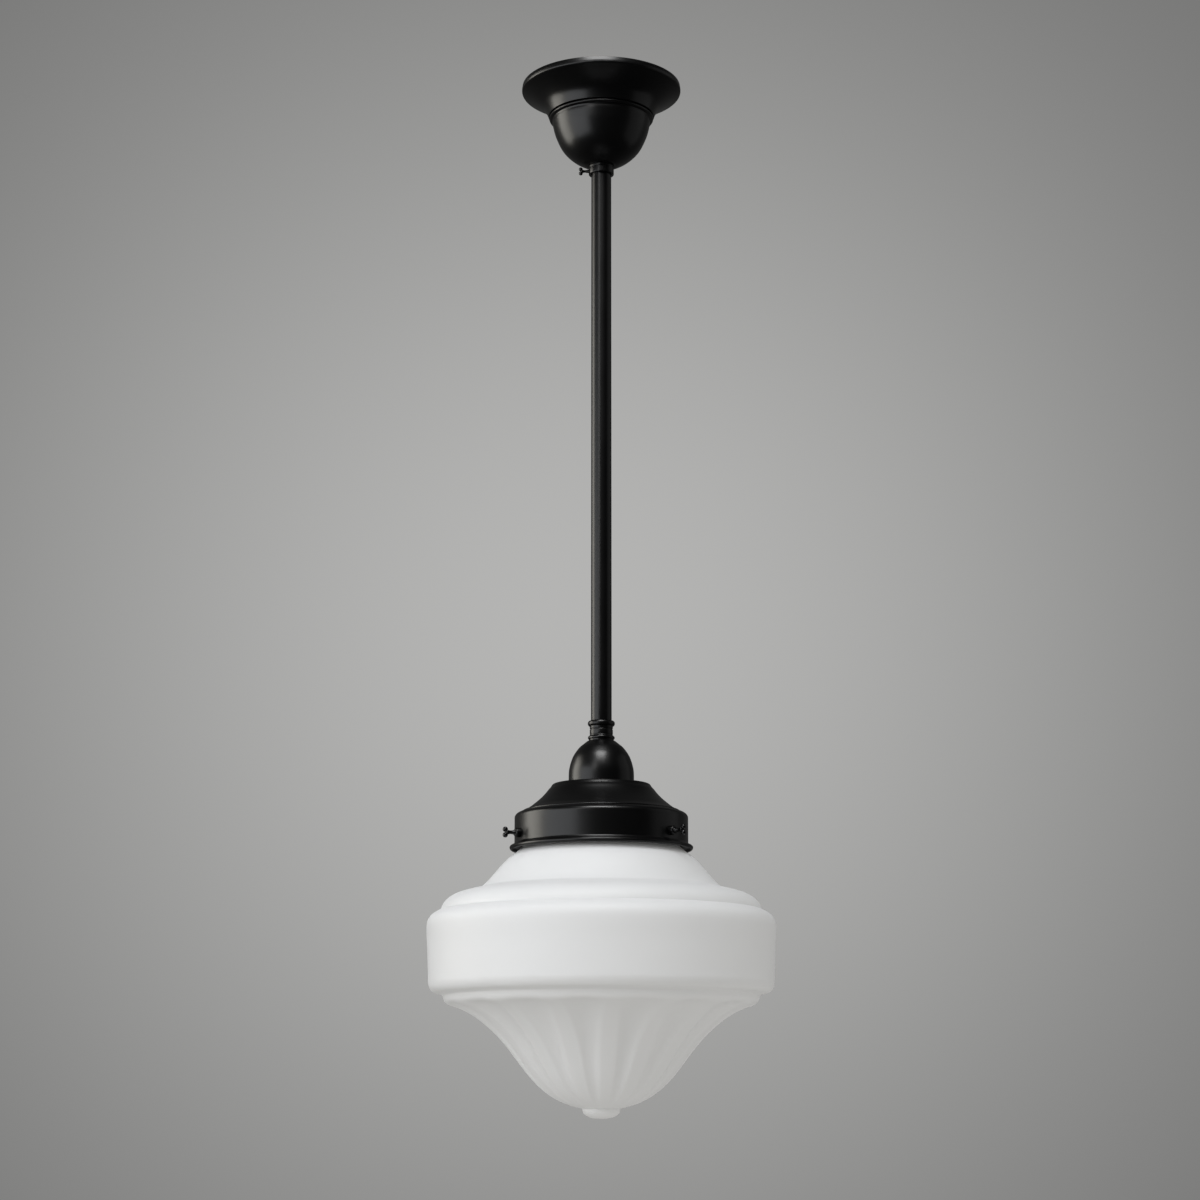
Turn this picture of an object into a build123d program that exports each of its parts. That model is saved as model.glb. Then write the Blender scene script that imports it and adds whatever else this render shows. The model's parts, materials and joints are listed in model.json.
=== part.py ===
from build123d import *
import os
from math import cos, radians, sin, sqrt

# Rod pendant light. Millimetres, +Z up, origin in the ceiling plane on the axis.
# Everything hangs below the ceiling, so every height is a negative Z.

# Driving dimensions: sheet and fits
sheet = 1.0
glass_wall = 3.2
thread_clearance = 0.02
running_clearance = 0.08
hole_clearance = 0.1
seat_gap = 0.3

# Driving dimensions: ceiling bracket
bracket_length = 84.0
bracket_width = 18.0
bracket_thickness = 2.0
bracket_drop = 10.0
bracket_plate_half = 22.0
bracket_foot_length = 14.0
fixing_spacing = 70.0
fixing_hole_radius = 2.25

# Driving dimensions: hollow threaded nipples and their nuts
nipple_radius = 5.0
nipple_bore_radius = 3.75
nipple_grip = 12.0
nipple_above_nut = 2.0
nut_flats = 14.0
nut_height = 4.0
washer_radius = 8.5
washer_thickness = 0.8

# Driving dimensions: terminal block and earth screw
block_length = 25.0
block_width = 14.0
block_height = 11.0
block_reach = 15.5
block_poles = 3
pole_pitch = 8.5
pole_width = 4.3
pole_wire_radius = 1.5
pole_screw_radius = 1.2
block_screw_radius = 1.25
block_screw_head_radius = 2.0
block_screw_head_height = 0.9
earth_screw_radius = 2.0
earth_head_radius = 4.0
earth_head_height = 2.6
earth_washer_radius = 4.6
earth_washer_thickness = 0.8

# Driving dimensions: rod
rod_radius = 6.5
rod_bore_radius = 4.5
rod_length = 405.5

# Driving dimensions: canopy
rim_radius = 52.1
rim_height = 2.4
rim_bevel = 1.2
flange_depth = 20.8
flange_neck_radius = 35.2
cup_mouth_radius = 32.0
cup_bead_radius = 34.1
cup_bead_height = 2.4
cup_depth = 34.0
collar_radius = 8.2
collar_height = 6.0
collar_spigot_radius = 7.6
collar_spigot_height = 4.2
ring_nut_radius = 9.4
ring_nut_height = 2.4
canopy_screw_travel = 2.5

# Driving dimensions: turned coupling under the rod
coupling_height = 12.5
coupling_neck_radius = 7.25
coupling_bead_radius = 8.4
coupling_bead_height = 2.6
coupling_foot_radius = 7.8

# Driving dimensions: dome over the gallery
dome_radius = 20.4
dome_height = 27.5

# Driving dimensions: gallery
plateau_radius = 30.2
cone_height = 16.6
cone_base_radius = 48.0
band_radius = 54.0
band_shoulder = 4.6
band_height = 14.4
lip_flare = 3.0
lip_height = 6.2

# Driving dimensions: thumbscrews
gallery_screw_count = 3
gallery_screw_first_angle = -38.2
gallery_screw_above_lip = 3.4
gallery_screw_radius = 1.75
gallery_screw_neck_radius = 1.45
gallery_screw_reach = 11.6
gallery_head_height = 6.7
gallery_head_length = 5.0
gallery_head_thickness = 3.0
boss_radius = 2.9
boss_length = 3.2
canopy_screw_angle = 180.0
canopy_screw_radius = 1.2
canopy_screw_neck_radius = 0.95
canopy_screw_reach = 6.8
canopy_head_height = 5.6
canopy_head_length = 3.4
canopy_head_thickness = 2.2

# Driving dimensions: glass shade
fitter_lip_radius = 50.5
fitter_neck_radius = 47.5
fitter_lip_height = 5.8
fitter_lip_edge = 1.3
fitter_neck_length = 6.0
shade_radius = 107.8
shade_step_width = 8.8
shade_shoulder_width = 24.0
neck_slope_drop = 28.6
shoulder_rise = 13.7
step_rise = 10.6
band_depth = 33.0
band_taper = 1.4
band_edge_round = 7.0
ledge_width = 3.6
ledge_drop = 2.0
ledge_corner = 0.6
cone_depth = 67.5
finial_radius = 11.5
finial_height = 6.0
flute_count = 16
flute_depth = 2.8
flute_ridge_angle = 4.3

# Driving dimensions: lampholder
holder_gap = 0.4
holder_cap_radius = 19.5
holder_cap_height = 18.0
holder_cap_neck_radius = 8.5
holder_body_radius = 20.5
holder_body_height = 35.0
holder_wall = 2.2
holder_spigot_height = 4.5
insert_radius = 16.2
insert_height = 8.0
shell_wall = 0.5
shell_length = 25.0

# Driving dimensions: lamp bulb
bulb_cap_radius = 13.25
bulb_cap_length = 22.0
bulb_insulator_radius = 9.0
bulb_insulator_height = 1.6
bulb_contact_radius = 4.5
bulb_contact_height = 0.8
bulb_radius = 30.0
bulb_length = 108.0
bulb_wall = 0.8
bulb_centre_contact_gap = 3.4

# Heights that follow from the driving dimensions
plate_top = -bracket_drop
plate_bottom = plate_top - bracket_thickness
rod_top = plate_bottom - nut_height
rod_bottom = rod_top - rod_length
cup_top = -flange_depth
collar_top = cup_top - cup_depth
collar_bottom = collar_top - collar_height
dome_top = rod_bottom - coupling_height
plateau_top = dome_top - dome_height
plateau_bottom = plateau_top - sheet
cone_bottom = plateau_top - cone_height
band_top = cone_bottom - band_shoulder
band_bottom = band_top - band_height
lip_bottom = band_bottom - lip_height
gallery_screw_height = band_bottom + gallery_screw_above_lip
holder_nut_bottom = plateau_bottom - washer_thickness - nut_height
holder_top = holder_nut_bottom - holder_gap
holder_body_top = holder_top - holder_cap_height
holder_bottom = holder_body_top - holder_body_height
insert_bottom = holder_body_top - insert_height + holder_spigot_height
bulb_top = insert_bottom - bulb_centre_contact_gap - seat_gap
bulb_cap_top = bulb_top - bulb_contact_height - bulb_insulator_height
bulb_cap_bottom = bulb_cap_top - bulb_cap_length
bulb_bottom = bulb_top - bulb_length
fitter_tip_radius = fitter_neck_radius + seat_gap
lip_underside = gallery_screw_height + gallery_screw_radius + seat_gap
fitter_top = lip_underside + fitter_lip_height
neck_bottom = lip_underside - fitter_neck_length
slope_bottom = neck_bottom - neck_slope_drop
shoulder_bottom = slope_bottom - shoulder_rise
step_bottom = shoulder_bottom - step_rise
band_edge = step_bottom - band_depth
cone_top = band_edge - band_edge_round - ledge_drop
finial_top = cone_top - cone_depth
finial_bottom = finial_top - finial_height

# Radii that follow from the driving dimensions
shoulder_radius = shade_radius - shade_step_width
neck_slope_radius = shoulder_radius - shade_shoulder_width
band_edge_radius = shade_radius - band_taper
band_foot_radius = band_edge_radius - 0.7 * band_edge_round
cone_top_radius = band_foot_radius - ledge_width - ledge_corner


# Outlines are drawn in the XZ plane as (radius, height) and spun about the axis
def spot(radius, height):
    return (radius, 0, height)


def straight(*points):
    return Polyline(*[spot(*point) for point in points])


def curve(points, start=None, end=None):
    """A smooth run through points, with its first and last directions if they are given."""
    if start is None:
        return Spline(*[spot(*point) for point in points])
    return Spline(*[spot(*point) for point in points], tangents=[spot(*start), spot(*end)])


def swing(centre, across, up, first, last):
    """Part of a circle or ellipse about a centre, from one angle to another."""
    steps = 2 if across == up else 6
    angles = [radians(first + (last - first) * step / steps) for step in range(steps + 1)]
    points = [(centre[0] + across * cos(a), centre[1] + up * sin(a)) for a in angles]
    if across == up:
        return ThreePointArc(*[spot(*point) for point in points])
    turn = 1 if last > first else -1
    ends = [(-across * sin(a) * turn, up * cos(a) * turn) for a in (angles[0], angles[-1])]
    return curve(points, *ends)


def inset(run, wall, steps=6):
    """Points one wall inside a run that goes downwards, measured square to it."""
    points = []
    for step in range(steps + 1):
        place, along = run @ (step / steps), run % (step / steps)
        points.append((place.X + along.Z * wall, place.Z - along.X * wall))
    return points


def ends_of(run):
    first, last = run @ 0, run @ 1
    return (first.X, first.Z), (last.X, last.Z)


def outline(*parts):
    """Joins runs and single points, in order, into one closed flat face."""
    edges = []
    start = here = None
    for part in parts:
        is_point = isinstance(part, tuple)
        first, last = (part, part) if is_point else ends_of(part)
        if here is not None and (Vector(*here) - Vector(*first)).length > 1e-6:
            edges.append(Line(spot(*here), spot(*first)))
        if not is_point:
            edges.extend(part.edges())
        start = start or first
        here = last
    if (Vector(*here) - Vector(*start)).length > 1e-6:
        edges.append(Line(spot(*here), spot(*start)))
    return Face(Wire(edges))


def spun(*parts):
    return revolve(outline(*parts), Axis.Z)


def tube(outer, inner, top, bottom):
    return spun((inner, top), (outer, top), (outer, bottom), (inner, bottom))


def rod_along(radius, start, stop, angle, height):
    """A round bar that points away from the axis, from one radius to another."""
    bar = Cylinder(radius, stop - start, align=(Align.CENTER, Align.CENTER, Align.MIN))
    return Rot(0, 0, angle) * Pos(start, 0, height) * Rot(0, 90, 0) * bar


def hex_nut(flats, bore, top, bottom):
    """A hexagon nut whose corners are turned off at both faces."""
    height = top - bottom
    body = extrude(RegularPolygon(flats / 2, 6, major_radius=False), height)
    corner = flats / sqrt(3)
    blank = chamfer(Cylinder(corner, height).edges().filter_by(GeomType.CIRCLE), 0.1 * height)
    body = body & (Pos(0, 0, height / 2) * blank)
    return Pos(0, 0, bottom) * (body - Cylinder(bore, 3 * height))


# Ceiling bracket, nipple and terminals
def crossbar():
    """A flat strap with two feet on the ceiling and a lowered plate between them."""
    foot = bracket_length / 2
    foot_inner = foot - bracket_foot_length
    run = foot_inner - bracket_plate_half
    leg = sqrt(run ** 2 + bracket_drop ** 2)
    shift = bracket_thickness * (leg - run) / bracket_drop
    side = Polyline(
        (-foot, 0, 0),
        (-foot_inner, 0, 0),
        (-bracket_plate_half, 0, plate_top),
        (bracket_plate_half, 0, plate_top),
        (foot_inner, 0, 0),
        (foot, 0, 0),
        (foot, 0, -bracket_thickness),
        (foot_inner + shift, 0, -bracket_thickness),
        (bracket_plate_half + shift, 0, plate_bottom),
        (-bracket_plate_half - shift, 0, plate_bottom),
        (-foot_inner - shift, 0, -bracket_thickness),
        (-foot, 0, -bracket_thickness),
        (-foot, 0, 0),
    )
    strap = extrude(Face(Wire(side.edges())), bracket_width, dir=(0, 1, 0))
    plan = RectangleRounded(bracket_length, bracket_width, bracket_width / 4)
    blank = Pos(0, 0, -3 * bracket_drop) * extrude(plan, 4 * bracket_drop)
    strap = Pos(0, -bracket_width / 2, 0) * strap & blank
    deep = 4 * bracket_thickness
    holes = [Cylinder(nipple_radius + hole_clearance, 2 * deep)]
    for side_sign in (-1, 1):
        place = Pos(side_sign * fixing_spacing / 2, 0, 0)
        holes.append(place * Cylinder(fixing_hole_radius, deep))
        block_hole = Pos(-block_reach, side_sign * pole_pitch / 2, plate_top)
        holes.append(block_hole * Cylinder(block_screw_radius + thread_clearance, deep))
    earth = Pos(block_reach, 0, plate_top)
    holes.append(earth * Cylinder(earth_screw_radius + thread_clearance, deep))
    holes[0] = Pos(0, 0, plate_top) * holes[0]
    return strap - holes


def top_nipple():
    top = plate_top + nut_height + nipple_above_nut
    return tube(nipple_radius, nipple_bore_radius, top, rod_top - nipple_grip)


def upper_lock_nut():
    bore = nipple_radius + thread_clearance
    return hex_nut(nut_flats, bore, plate_top + nut_height, plate_top)


def lower_lock_nut():
    return hex_nut(nut_flats, nipple_radius + thread_clearance, plate_bottom, rod_top)


def pole_places():
    middle = (block_poles - 1) / 2
    return [(index - middle) * pole_pitch for index in range(block_poles)]


def pole_screw_reach():
    return block_height / 2 - pole_wire_radius


def terminal_block():
    """A strip of wire tunnels, with a screw down into each end of each tunnel."""
    low = (Align.CENTER, Align.CENTER, Align.MAX)
    block = Box(block_width, block_length, 0.55 * block_height, align=low)
    for place in pole_places():
        block += Pos(0, place, 0) * Box(block_width - 1, pole_width, block_height, align=low)
    for place in pole_places():
        tunnel = Pos(0, place, -block_height / 2) * Rot(0, 90, 0)
        block -= tunnel * Cylinder(pole_wire_radius, 2 * block_width)
        for end in (-1, 1):
            shaft = Pos(end * block_width / 4, place, -block_height)
            block -= shaft * Cylinder(pole_screw_radius + thread_clearance, block_height)
    for side_sign in (-1, 1):
        hole = Pos(0, side_sign * pole_pitch / 2, 0)
        block -= hole * Cylinder(block_screw_radius + thread_clearance, 4 * block_height)
    return Pos(-block_reach, 0, plate_bottom) * block


def pan_screw(radius, reach, head_radius, head_height):
    """A screw that points up from the origin, with a domed and slotted head below it."""
    head = Cylinder(head_radius, head_height, align=(Align.CENTER, Align.CENTER, Align.MAX))
    head = fillet(head.edges().group_by(Axis.Z)[0], 0.45 * head_height)
    slot = Pos(0, 0, -head_height) * Box(3 * head_radius, 0.2 * head_radius, 0.8 * head_height)
    shank = Cylinder(radius, reach, align=(Align.CENTER, Align.CENTER, Align.MIN))
    return head - slot + shank


def terminal_screws():
    """The small screws that clamp the wires, one at each end of each tunnel."""
    screws = []
    reach = pole_screw_reach()
    up = (Align.CENTER, Align.CENTER, Align.MIN)
    for place in pole_places():
        for end in (-1, 1):
            screw = Cylinder(pole_screw_radius, reach, align=up)
            screw -= Box(4 * pole_screw_radius, 0.5 * pole_screw_radius, pole_screw_radius)
            x = -block_reach + end * block_width / 4
            screws.append(Pos(x, place, plate_bottom - block_height) * screw)
    return Compound(children=screws)


def terminal_block_screws():
    seat = plate_bottom - 0.55 * block_height
    screws = []
    for side_sign in (-1, 1):
        screw = pan_screw(block_screw_radius, plate_top - seat, block_screw_head_radius,
                          block_screw_head_height)
        screws.append(Pos(-block_reach, side_sign * pole_pitch / 2, seat) * screw)
    return Compound(children=screws)


def earth_washer():
    bore = earth_screw_radius + hole_clearance
    ring = tube(earth_washer_radius, bore, plate_bottom, plate_bottom - earth_washer_thickness)
    return Pos(block_reach, 0, 0) * ring


def earth_screw():
    seat = plate_bottom - earth_washer_thickness
    reach = plate_top + bracket_thickness - seat
    screw = pan_screw(earth_screw_radius, reach, earth_head_radius, earth_head_height)
    return Pos(block_reach, 0, seat) * screw


# Rod
def rod():
    """A tube whose two ends are bored out for the nipples' threads."""
    tapped = nipple_radius + thread_clearance
    return spun(
        (tapped, rod_top),
        (rod_radius, rod_top),
        (rod_radius, rod_bottom),
        (tapped, rod_bottom),
        (tapped, rod_bottom + nipple_grip),
        (rod_bore_radius, rod_bottom + nipple_grip),
        (rod_bore_radius, rod_top - nipple_grip),
        (tapped, rod_top - nipple_grip),
    )


# Canopy
def flare_run():
    """The trumpet of the flange, from under its rim down to its upright neck."""
    start = (rim_radius - rim_bevel / 2, -rim_height - rim_bevel)
    width = start[0] - flange_neck_radius
    depth = start[1] + flange_depth
    controls = [
        start,
        (flange_neck_radius + 0.4 * width, start[1] - 0.38 * depth),
        (flange_neck_radius, start[1] - 0.57 * depth),
        (flange_neck_radius, -flange_depth),
    ]
    return Bezier(*[spot(*point) for point in controls])


def canopy_flange():
    outer = flare_run()
    inner = inset(outer, sheet)
    lip_radius = cup_mouth_radius - sheet
    inner_neck = inner[-1][0]
    return spun(
        (rim_radius - sheet, 0),
        (rim_radius, 0),
        (rim_radius, -rim_height),
        outer,
        (lip_radius, -flange_depth),
        (lip_radius, sheet - flange_depth),
        (inner_neck, sheet - flange_depth),
        curve(list(reversed(inner[:-1]))),
        (rim_radius - sheet, -rim_height),
    )


def cup_run():
    """The side of the cup, nearly upright below its bead and flat where the collar seats."""
    top = cup_top - cup_bead_height - sheet
    depth = top - collar_top
    points = [
        (cup_mouth_radius, top),
        (0.88 * cup_mouth_radius, top - 0.44 * depth),
        (0.655 * cup_mouth_radius, top - 0.78 * depth),
        (0.37 * cup_mouth_radius, top - 0.96 * depth),
        (ring_nut_radius + hole_clearance, collar_top),
    ]
    return curve(points, (0, -1), (-1, 0))


def canopy_cup():
    side = cup_run()
    inner = inset(side, sheet)
    bead_middle = cup_top - cup_bead_height / 2
    bead = swing((cup_mouth_radius, bead_middle), cup_bead_radius - cup_mouth_radius,
                 cup_bead_height / 2, 90, -90)
    hole = collar_spigot_radius + hole_clearance
    return spun(
        (cup_mouth_radius - sheet, cup_top),
        bead,
        side,
        (hole, collar_top),
        (hole, collar_top + sheet),
        curve(list(reversed(inner))),
    )


def screw_hole(radius, start, stop, angle, height):
    return rod_along(radius + running_clearance, start, stop, angle, height)


def canopy_screw_height():
    return collar_top - 0.58 * collar_height


def canopy_collar():
    """A ring round the rod, with a spigot up through the cup and a hole for its screw."""
    bore = rod_radius + running_clearance
    round_off = 0.08 * collar_height
    ring = spun(
        (bore, collar_top + collar_spigot_height),
        (collar_spigot_radius, collar_top + collar_spigot_height),
        (collar_spigot_radius, collar_top),
        (collar_radius, collar_top),
        (collar_radius, collar_bottom + round_off),
        (collar_radius - round_off, collar_bottom),
        (bore, collar_bottom),
    )
    height = canopy_screw_height()
    return ring - screw_hole(canopy_screw_radius, 0, 2 * collar_radius, canopy_screw_angle, height)


def canopy_ring_nut():
    bore = collar_spigot_radius + thread_clearance
    bottom = collar_top + sheet
    nut = tube(ring_nut_radius, bore, bottom + ring_nut_height, bottom)
    notch = Box(2.2, 2.2, 3 * ring_nut_height)
    notches = [Rot(0, 0, turn) * Pos(ring_nut_radius, 0, bottom) * notch for turn in range(0, 360, 60)]
    return nut - notches


def spade_screw(radius, neck_radius, start, shoulder, stop, head, angle, height):
    """A thumbscrew along a radius: thread, neck, and a head of two lobes with a notch between."""
    head_length, head_height, head_thickness = head
    lobe = head_length * 0.42
    lobe_out = head_height / 2 - lobe
    thread = Cylinder(radius, shoulder - start, align=(Align.CENTER, Align.CENTER, Align.MIN))
    thread = chamfer(thread.edges().group_by(Axis.Z)[0], 0.35 * radius)
    screw = Pos(0, 0, start) * thread
    neck_length = stop - lobe - shoulder
    neck = Cylinder(neck_radius, neck_length, align=(Align.CENTER, Align.CENTER, Align.MIN))
    screw += Pos(0, 0, shoulder) * neck
    blade = Pos(0, 0, stop - lobe) * Rot(90, 0, 0) * Cylinder(lobe, head_thickness)
    for side_sign in (-1, 1):
        screw += Pos(side_sign * lobe_out, 0, 0) * blade
    root = Pos(0, 0, stop - head_length) * Cone(
        neck_radius, lobe, head_length - lobe, align=(Align.CENTER, Align.CENTER, Align.MIN))
    wide = Pos(0, 0, stop) * Box(3 * head_height, head_thickness, 2.6 * head_length)
    screw += root & wide
    return Rot(0, 0, angle) * Pos(0, 0, height) * Rot(0, 90, 0) * screw


def canopy_screw():
    head = (canopy_head_length, canopy_head_height, canopy_head_thickness)
    start = rod_radius + hole_clearance
    shoulder = collar_radius + canopy_screw_travel / 3
    return spade_screw(canopy_screw_radius, canopy_screw_neck_radius, start, shoulder,
                       collar_radius + canopy_screw_reach, head, canopy_screw_angle,
                       canopy_screw_height())


# Coupling, dome and gallery
def coupling():
    """A turned sleeve with a bead at each end and a fine groove round its neck."""
    bore = nipple_radius + thread_clearance
    half_bead = coupling_bead_height / 2
    top_bead = swing((coupling_neck_radius, rod_bottom - half_bead),
                     coupling_bead_radius - coupling_neck_radius, half_bead, 90, -90)
    low_bead = swing((coupling_neck_radius, dome_top + 1.25 * half_bead),
                     coupling_bead_radius - coupling_neck_radius, 0.85 * half_bead, 90, -60)
    groove = rod_bottom - 0.4 * coupling_height
    return spun(
        (bore, rod_bottom),
        top_bead,
        (coupling_neck_radius, groove),
        (coupling_neck_radius - 0.25, groove - 0.3),
        (coupling_neck_radius, groove - 0.6),
        low_bead,
        (coupling_foot_radius, dome_top),
        (bore, dome_top),
    )


def dome_run():
    crown = coupling_foot_radius + hole_clearance
    width = dome_radius - crown
    skirt = plateau_top + 0.16 * dome_height
    depth = dome_top - skirt
    points = [
        (crown, dome_top),
        (crown + 0.44 * width, dome_top - 0.19 * depth),
        (crown + 0.76 * width, dome_top - 0.42 * depth),
        (crown + 0.94 * width, dome_top - 0.68 * depth),
        (dome_radius, skirt),
    ]
    return curve(points, (1, -0.35), (0, -1))


def dome():
    outer = dome_run()
    inner = inset(outer, sheet)
    hole = nipple_radius + hole_clearance
    return spun(
        (hole, dome_top),
        outer,
        (dome_radius, plateau_top),
        (dome_radius - sheet, plateau_top),
        curve(list(reversed(inner[1:]))),
        (inner[1][0] - sheet, dome_top - sheet),
        (hole, dome_top - sheet),
    )


def cone_run():
    width = cone_base_radius - plateau_radius - 1.4
    top = plateau_top - 2.0
    depth = top - cone_bottom
    start = plateau_radius + 1.4
    points = [
        (start, top),
        (start + 0.27 * width, top - 0.36 * depth),
        (start + 0.63 * width, top - 0.73 * depth),
        (cone_base_radius, cone_bottom),
    ]
    return curve(points, (1, -1.35), (1, -0.55))


def lip_run():
    """The rolled lip: out from the band, round its nose and back in."""
    points = [
        (band_radius, band_bottom),
        (band_radius + 0.64 * lip_flare, band_bottom - 0.28 * lip_height),
        (band_radius + lip_flare, band_bottom - 0.55 * lip_height),
        (band_radius + 0.72 * lip_flare, band_bottom - 0.83 * lip_height),
        (band_radius - 0.1 * lip_flare, lip_bottom),
    ]
    return curve(points, (0.2, -1), (-1, -0.4))


def gallery_screw_angles():
    step = 360 / gallery_screw_count
    return [gallery_screw_first_angle + step * index for index in range(gallery_screw_count)]


def gallery():
    """The spun holder: plateau, hollow cone, bead, upright band and flared lip in one sheet."""
    plateau_round = 1.9
    edge = swing((plateau_radius - plateau_round + 1.0, plateau_top - plateau_round),
                 plateau_round, plateau_round, 90, 38)
    cone = cone_run()
    bead_radius = cone_base_radius + 0.9
    bead = straight((bead_radius, cone_bottom - 0.3), (bead_radius - 0.1, cone_bottom - 1.0))
    shoulder_top = cone_bottom - 1.0
    shoulder = swing((bead_radius - 0.1, band_top), band_radius - bead_radius + 0.1,
                     shoulder_top - band_top, 90, 0)
    lip = lip_run()
    inner_cone = inset(cone, sheet)
    inner_shoulder = inset(shoulder, sheet)
    inner_lip = inset(lip, sheet)
    hole = nipple_radius + hole_clearance
    shell = spun(
        (hole, plateau_top),
        edge,
        cone,
        bead,
        shoulder,
        lip,
        curve(list(reversed(inner_lip))),
        curve(list(reversed(inner_shoulder[1:]))),
        curve(list(reversed(inner_cone))),
        (plateau_radius - plateau_round, plateau_bottom),
        (hole, plateau_bottom),
    )
    for angle in gallery_screw_angles():
        shell -= screw_hole(gallery_screw_radius, band_radius - 3 * sheet,
                            band_radius + 3 * sheet, angle, gallery_screw_height)
    return shell


def gallery_bosses():
    """A short threaded boss outside the band at each thumbscrew, hollowed to sit on it."""
    bosses = []
    band = Pos(0, 0, gallery_screw_height) * Cylinder(band_radius, 6 * boss_radius)
    for angle in gallery_screw_angles():
        boss = rod_along(boss_radius, band_radius - sheet, band_radius + boss_length,
                         angle, gallery_screw_height)
        hole = screw_hole(gallery_screw_radius, band_radius - 3 * sheet,
                          band_radius + 2 * boss_length, angle, gallery_screw_height)
        bosses.append(boss - band - hole)
    return Compound(children=bosses)


def gallery_screw(index):
    head = (gallery_head_length, gallery_head_height, gallery_head_thickness)
    shoulder = band_radius + boss_length + 0.4
    return spade_screw(gallery_screw_radius, gallery_screw_neck_radius, fitter_tip_radius,
                       shoulder, band_radius + gallery_screw_reach, head,
                       gallery_screw_angles()[index], gallery_screw_height)


def bottom_nipple():
    bottom = holder_top - 0.45 * holder_cap_height
    return tube(nipple_radius, nipple_bore_radius, rod_bottom + nipple_grip, bottom)


def gallery_washer():
    bore = nipple_radius + hole_clearance
    ring = tube(washer_radius, bore, plateau_bottom, plateau_bottom - washer_thickness)
    notch = Box(1.4, 1.0, 6 * washer_thickness)
    teeth = [Rot(0, 0, turn) * Pos(washer_radius, 0, plateau_bottom) * notch
             for turn in range(0, 360, 30)]
    return ring - teeth


def gallery_lock_nut():
    top = plateau_bottom - washer_thickness
    return hex_nut(nut_flats, nipple_radius + thread_clearance, top, holder_nut_bottom)


# Lampholder
def lampholder_cap():
    """The bell-shaped top of the lampholder, threaded on the nipple at its neck."""
    shoulder = curve(
        [
            (holder_cap_neck_radius, holder_top - 0.25 * holder_cap_height),
            (0.8 * holder_cap_radius, holder_top - 0.42 * holder_cap_height),
            (holder_cap_radius, holder_top - 0.68 * holder_cap_height),
        ],
        (0.4, -1), (0, -1))
    inner = inset(shoulder, holder_wall)
    bore = nipple_radius + thread_clearance
    roof = holder_top - 0.47 * holder_cap_height
    return spun(
        (bore, holder_top),
        (holder_cap_neck_radius, holder_top),
        shoulder,
        (holder_cap_radius, holder_body_top),
        (holder_cap_radius - holder_wall, holder_body_top),
        (inner[-1][0], inner[-1][1]),
        (inner[-1][0] - 0.6 * holder_wall, roof),
        (bore, roof),
    )


def lampholder_body():
    """The insulating sleeve round the lamp cap, with a spigot up into the lampholder's cap."""
    spigot = holder_cap_radius - holder_wall - hole_clearance
    seat = insert_radius + hole_clearance
    spigot_top = holder_body_top + holder_spigot_height
    mouth = holder_body_radius - holder_wall
    grip = holder_body_radius + 0.5
    return spun(
        (seat, spigot_top),
        (spigot, spigot_top),
        (spigot, holder_body_top),
        (holder_body_radius - 0.6, holder_body_top),
        (holder_body_radius, holder_body_top - 3),
        (holder_body_radius, holder_bottom + 4),
        (grip, holder_bottom + 3),
        (grip, holder_bottom + 1),
        (holder_body_radius, holder_bottom),
        (mouth, holder_bottom),
        (mouth, insert_bottom - 6 * shell_wall),
        (seat, insert_bottom - 2 * shell_wall),
    )


def lampholder_insert():
    """The ceramic disc that carries the contacts, with two holes for the wires."""
    top = insert_bottom + insert_height
    disc = tube(insert_radius, 1.6, top, insert_bottom)
    for turn in (0, 180):
        disc -= Rot(0, 0, turn) * Pos(0.62 * insert_radius, 0, top) * Cylinder(2.0, 4 * insert_height)
    return disc


def screw_shell():
    """The brass sleeve that the lamp cap screws into, flanged under the ceramic disc."""
    bore = bulb_cap_radius + running_clearance
    outer = bore + shell_wall
    flange = insert_radius - seat_gap
    return spun(
        (bore, insert_bottom),
        (flange, insert_bottom),
        (flange, insert_bottom - shell_wall),
        (outer, insert_bottom - shell_wall),
        (outer, insert_bottom - shell_length),
        (bore, insert_bottom - shell_length),
    )


def centre_contact():
    """A bent brass tongue under the ceramic disc, held by a rivet in its middle hole."""
    reach = bulb_centre_contact_gap
    strip = 0.5
    side = Polyline(
        (-5.5, 0, insert_bottom),
        (3.5, 0, insert_bottom),
        (5.5, 0, insert_bottom - 0.45 * reach),
        (3.0, 0, insert_bottom - reach),
        (-2.5, 0, insert_bottom - reach),
        (-2.5, 0, insert_bottom - reach + strip),
        (2.6, 0, insert_bottom - reach + strip),
        (4.7, 0, insert_bottom - 0.45 * reach),
        (3.2, 0, insert_bottom - strip),
        (-5.5, 0, insert_bottom - strip),
        (-5.5, 0, insert_bottom),
    )
    tongue = extrude(Face(Wire(side.edges())), 2.5, dir=(0, 1, 0), both=True)
    rivet = Pos(0, 0, insert_bottom) * Cylinder(
        1.55, insert_height + 0.6, align=(Align.CENTER, Align.CENTER, Align.MIN))
    head = Pos(0, 0, insert_bottom + insert_height) * Cylinder(
        2.6, 0.8, align=(Align.CENTER, Align.CENTER, Align.MIN))
    return tongue + rivet + head


# Glass shade
def ogee_run():
    """The ridge line of the lower glass: round a short shoulder, hollow, then full."""
    width = cone_top_radius - finial_radius
    points = [
        (cone_top_radius, cone_top),
        (finial_radius + 0.985 * width, cone_top - 0.05 * cone_depth),
        (finial_radius + 0.914 * width, cone_top - 0.096 * cone_depth),
        (finial_radius + 0.754 * width, cone_top - 0.2 * cone_depth),
        (finial_radius + 0.544 * width, cone_top - 0.451 * cone_depth),
        (finial_radius + 0.347 * width, cone_top - 0.763 * cone_depth),
        (finial_radius + 0.185 * width, cone_top - 0.921 * cone_depth),
        (finial_radius, finial_top),
    ]
    return curve(points)


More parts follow.
